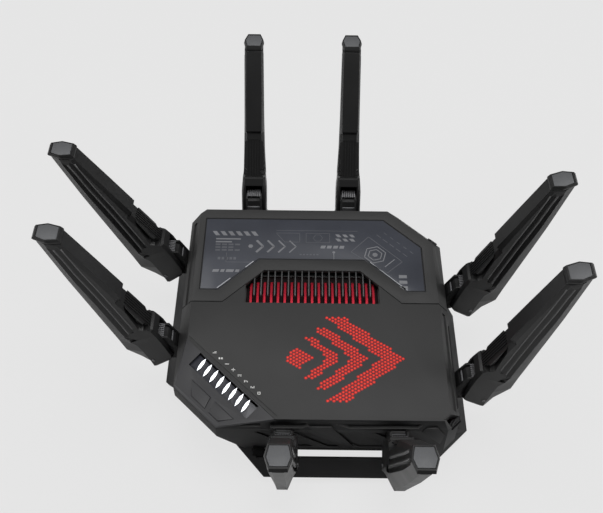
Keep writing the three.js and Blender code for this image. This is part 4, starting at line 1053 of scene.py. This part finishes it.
antenna_plastic = plastic("antenna_plastic", (0.0052, 0.0052, 0.0054), 0.40, 0.38, 0.25, 0.35)
knee = (33.2, 1.0)                # where the outer edge turns, as (out, up)
outer_top = (16.6, 138.5)         # and a point near its upper end
head_up_mm = 152.4
head_slope = 0.68
head_middle_out = 2.9


def outer_edge(up):
    """How far out the outer edge of the blade is at a height."""
    return knee[0] + (outer_top[0] - knee[0]) * (up - knee[1]) / (outer_top[1] - knee[1])


def ring(up, inner, outer, half, strips, slope=0.0):
    """Eight corners around the blade, as (along the axis, out, up).

    Half is the blade's half thickness. The strips are how far the outer and the inner
    chamfer reach across the blade, and the half widths of the two edges beyond them.
    """
    outer_strip, inner_strip, outer_half, inner_half = strips
    points = [
        (-outer_half, outer), (outer_half, outer), (half, outer - outer_strip),
        (half, inner + inner_strip), (inner_half, inner), (-inner_half, inner),
        (-half, inner + inner_strip), (-half, outer - outer_strip),
    ]
    return [(x, out, up + slope * (out - head_middle_out)) for x, out in points]


def lofted(name, rings):
    """A body through a stack of rings: a flat plate, extruded and reshaped ring by ring."""
    flat_plate(len(rings[0]))
    work = bpy.context.object.data
    before = [vertex.co.copy() for vertex in work.vertices]
    for index, corners in enumerate(rings):
        if index:
            bpy.ops.mesh.extrude_region_move()
        moving = bmesh.from_edit_mesh(work)
        moving.verts.ensure_lookup_table()
        pairs = []
        for vertex in moving.verts:
            if vertex.select or not index:
                here = vertex.co
                nearest = min(range(len(before)), key=lambda n: (before[n] - here).length)
                pairs.append((vertex.index, nearest))
        targets = [Vector((x, -out, up)) * mm for x, out, up in corners]
        for which, nearest in pairs:
            move_corner(which, targets[nearest])
        bpy.ops.mesh.select_all(action="DESELECT")
        moving = bmesh.from_edit_mesh(work)
        moving.verts.ensure_lookup_table()
        bpy.ops.mesh.select_mode(type="VERT")
        for which, _ in pairs:
            moving.verts[which].select = True
        moving.select_flush(True)
        bmesh.update_edit_mesh(work)
        before = targets
    return settle(bare_piece(name))


blade = lofted("blade", [
    ring(-22.0, -1.0, 20.6, 9.6, (2.6, 4.0, 4.6, 6.6), -0.2),
    ring(-18.6, -4.0, 23.4, 11.7, (5.0, 2.4, 4.4, 9.6), -0.2),
    ring(-13, -5.0, 26.8, 11.8, (10.0, 1.6, 4.2, 10.6)),
    ring(1, -6.9, 33.2, 11.8, (17.9, 1.6, 4.2, 10.6)),
    ring(10.5, -8.3, outer_edge(10.5), 11.8, (17.4, 2.0, 4.0, 10.2)),
    ring(16.6, -8.8, outer_edge(16.6), 11.4, (13.8, 2.6, 3.8, 9.2)),
    ring(22.6, -8.2, outer_edge(22.6), 10.9, (12.4, 2.2, 3.8, 9.0)),
    ring(24.0, -6.2, outer_edge(24.0), 10.8, (12.0, 1.6, 3.8, 9.0)),
    ring(34, -5.5, outer_edge(34), 10.0, (11.0, 3.6, 3.8, 6.8)),
    ring(66, -3.9, outer_edge(66), 9.2, (9.6, 4.0, 3.7, 6.6)),
    ring(68.4, -7.0, outer_edge(68.4), 9.15, (9.5, 4.6, 3.7, 7.4)),
    ring(101.4, -5.6, outer_edge(101.4), 8.8, (7.9, 3.6, 3.6, 7.4)),
    ring(head_up_mm - 5.6, -3.9, 13.2, 8.6, (6.8, 2.8, 3.6, 7.0), head_slope),
    ring(head_up_mm - 4.9, -3.1, 12.4, 7.9, (6.8, 2.8, 3.6, 7.0), head_slope),
    ring(head_up_mm - 4.1, -4.5, 12.6, 9.2, (9.2, 7.8, 6.0, 7.2), head_slope),
    ring(head_up_mm - 2.6, -4.8, 12.8, 9.4, (9.2, 7.8, 6.0, 7.2), head_slope),
    ring(head_up_mm, -4.3, 10.6, 8.6, (6.8, 7.5, 5.8, 6.9), head_slope),
])

fork = [(-34, 16.4), (2.5, 15.6), (11.6, 6.5), (11.6, -6), (8, -12), (12, -51), (-34, -51)]
fork_half_mm = 8
bore_radius_mm = 2.8
bore_long_mm = 22.2               # over both blind bores
carve(blade, block("fork", fork, -fork_half_mm, fork_half_mm, beside))
bpy.ops.object.select_all(action="DESELECT")
bpy.ops.mesh.primitive_cylinder_add(
    vertices=20, radius=bore_radius_mm * mm, depth=bore_long_mm * mm,
    rotation=(0, math.pi / 2, 0))
carve(blade, settle(bare_piece("bore")))
carve(blade, lofted("seat", [
    ring(head_up_mm - 2.6, -3.7, 9.5, 7.95, (5.8, 7.0, 5.75, 6.25), head_slope),
    ring(head_up_mm + 1, -3.7, 9.5, 7.95, (5.8, 7.0, 5.75, 6.25), head_slope),
]))


def on_face(name, floor_outline, open_outline, side, floor_mm, open_mm=11.4):
    """A tool for a sunk field in a broad face, its floor smaller than its mouth."""
    low = [(side * floor_mm, out, up) for out, up in floor_outline]
    high = [(side * open_mm, out, up) for out, up in open_outline]
    return lofted(name, [low, high])


def sawtooth(side, up, near, far, deep, wall, top):
    """A groove that slopes down from near to far off the outer edge, then climbs a short wall."""
    edge = outer_edge(up)
    clear_of_face = 14
    corners = (
        (top, near), (top - deep, far), (top, far + wall), (clear_of_face, far + wall),
        (clear_of_face, near),
    )
    return [(side * x, edge - off, up) for x, off in corners]


# Each groove by its stations, as (up, near, far, deep, wall, top)
channel = (
    (22, 12.6, 15.0, 1.2, 0.8, 11.0), (31, 11.5, 15.4, 1.8, 0.9, 10.2),
    (50, 10.5, 14.6, 1.9, 0.9, 9.6), (80, 9.3, 13.2, 1.9, 0.9, 9.03),
    (110, 7.8, 11.3, 1.9, 0.9, 8.76), (130, 7.2, 11.0, 1.8, 0.9, 8.67),
    (141, 6.9, 10.4, 1.4, 0.8, 8.62), (145, 7.0, 8.6, 0.4, 0.4, 8.6),
)
ledge = (
    (27, 19.4, 22.0, 0.6, 0.6, 10.5), (31, 18.6, 21.8, 1.0, 0.7, 10.2),
    (50, 17.6, 20.9, 1.1, 0.7, 9.6), (80, 16.2, 19.4, 1.1, 0.7, 9.03),
    (110, 14.3, 17.4, 1.1, 0.7, 8.76), (130, 14.0, 17.0, 1.1, 0.7, 8.67),
    (139, 13.4, 16.4, 0.9, 0.7, 8.62), (142, 13.6, 15.2, 0.3, 0.4, 8.6),
)
hook_floor = [(20.2, 24.6), (15.2, 22.4), (12.4, 15.4), (4.8, 12.9), (12.8, 12.6), (16.2, 15.0)]
hook_mouth = [(20.6, 24.6), (13.8, 23.4), (11.2, 17.0), (2.4, 13.4), (12.8, 11.4), (16.9, 13.6)]
pocket_floor = [(-3.0, 57), (-1.6, 52), (0.8, 29.6), (-1.4, 26.8), (-9.0, 26.0), (-9.6, 58)]
pocket_mouth = [(-2.2, 60), (-0.2, 53), (2.6, 28), (-0.6, 25.8), (-9.4, 25.0), (-10.4, 61)]
wedge_foot = [(-3.9, 60), (-2.2, 40), (-3.4, 29), (-5.5, 30), (-4.9, 44)]
wedge_top = [(-4.0, 58), (-3.2, 40), (-4.0, 32), (-4.9, 33), (-4.6, 44)]
for side in (-1, 1):
    for groove in (channel, ledge):
        carve(blade, lofted("groove", [sawtooth(side, *station) for station in groove]))
    carve(blade, on_face("hook", hook_floor, hook_mouth, side, 9.9))
    carve(blade, on_face("pocket", pocket_floor, pocket_mouth, side, 6.2))
    carve(blade, on_face("wedge", wedge_foot, wedge_top, side, 5.4, 8.9), "UNION")

# Five upright flutes in the inner edge, above the foot
flute_pitch_mm = 2.5
flute_half_mm = 0.75
flute = [(-12, 24.6), (-5.3, 24.6), (-3.4, 60), (-12, 63)]
for place in range(-2, 3):
    x = place * flute_pitch_mm
    carve(blade, block("flute", flute, x - flute_half_mm, x + flute_half_mm, beside))
round_edges(blade, 0.3, 18, 9)

# Crests beside the grooves, lighter as a painted highlight, as (up, off the outer edge, half
# thickness)
crest_highlight = plastic("crest_highlight", (0.060, 0.060, 0.061), 0.4, 0.5, 0.1)
crest_paths = (
    ((27, 17.3, 10.6), (50, 16.3, 9.6), (80, 14.9, 9.03),
     (110, 13.0, 8.76), (130, 12.7, 8.67), (141, 12.0, 8.62)),
    ((31, 23.4, 10.2), (50, 22.3, 9.6), (80, 20.8, 9.03),
     (110, 18.8, 8.76), (130, 18.2, 8.6), (139, 17.7, 8.5)),
)
crest_section = ((-0.6, 0.9), (0.3, 0.45), (0.3, -0.45), (-0.6, -0.9))
ridges = []
for side in (-1, 1):
    for path in crest_paths:
        ridges.append(lofted("crest", [
            [(side * (half + x), outer_edge(up) - off + out, up) for x, out in crest_section]
            for up, off, half in path
        ]))
ridges = join("ridges", ridges)
round_edges(ridges, 0.12)

cheek_face_mm = 11.8
cheek_screw_out = 14.6
cheek_screw_down = 14.0
in_cheek = shift(cheek_face_mm, -cheek_screw_out, -cheek_screw_down)
foot_screw = settle(screw(1.5, 0.9), in_cheek @ Matrix.Rotation(math.pi / 2, 4, "Y"))
other_cheek = shift(0, -2 * cheek_screw_out, 0) @ Matrix.Rotation(math.pi, 4, "Z")

for station, (_, leaned) in stations.items():
    body = f"antenna_{station}"
    antenna = settle(copied(f"antenna_{station}", blade), leaned)
    fit(antenna, antenna_plastic, "antenna_plastic", body, f"antenna_blade_{station}")
    # The crests take the lighter colour of the painted highlight
    lit_crests = settle(copied(f"antenna_crest_highlights_{station}", ridges), leaned)
    fit(lit_crests, crest_highlight, "antenna_plastic", body)
    pair = [
        settle(copied("screw", foot_screw), leaned @ flip)
        for flip in (Matrix.Identity(4), other_cheek)
    ]
    fit(join(f"foot_screws_{station}", pair), screw_steel, "pin_steel", body)
discard(blade, ridges, foot_screw)

# Caps: a six-sided plate of brushed grey aluminium, glued into the sloping head of each
# antenna and level with its rim.

plate_strips = (5.5, 6.7, 5.5, 6.0)
plate = lofted("plate", [
    ring(head_up_mm - 2.6, -3.4, 9.2, 7.7, plate_strips, head_slope),
    ring(head_up_mm, -3.4, 9.2, 7.7, plate_strips, head_slope),
])
round_edges(plate, 0.3)
cap_metal = {}
for station, (_, leaned) in stations.items():
    streak = (6, 0.6, 6) if station.split("_")[0] in ("front", "rear") else (0.6, 6, 6)
    if streak not in cap_metal:
        cap_metal[streak] = metal(
            "cap_metal", (0.089, 0.091, 0.095), 0.6, streak, 0.2, 0.05, 420, 0.3)
    cap = settle(copied(f"cap_{station}", plate), leaned)
    fit(cap, cap_metal[streak], "cap_metal", f"antenna_{station}", f"antenna_cap_{station}")
discard(plate)
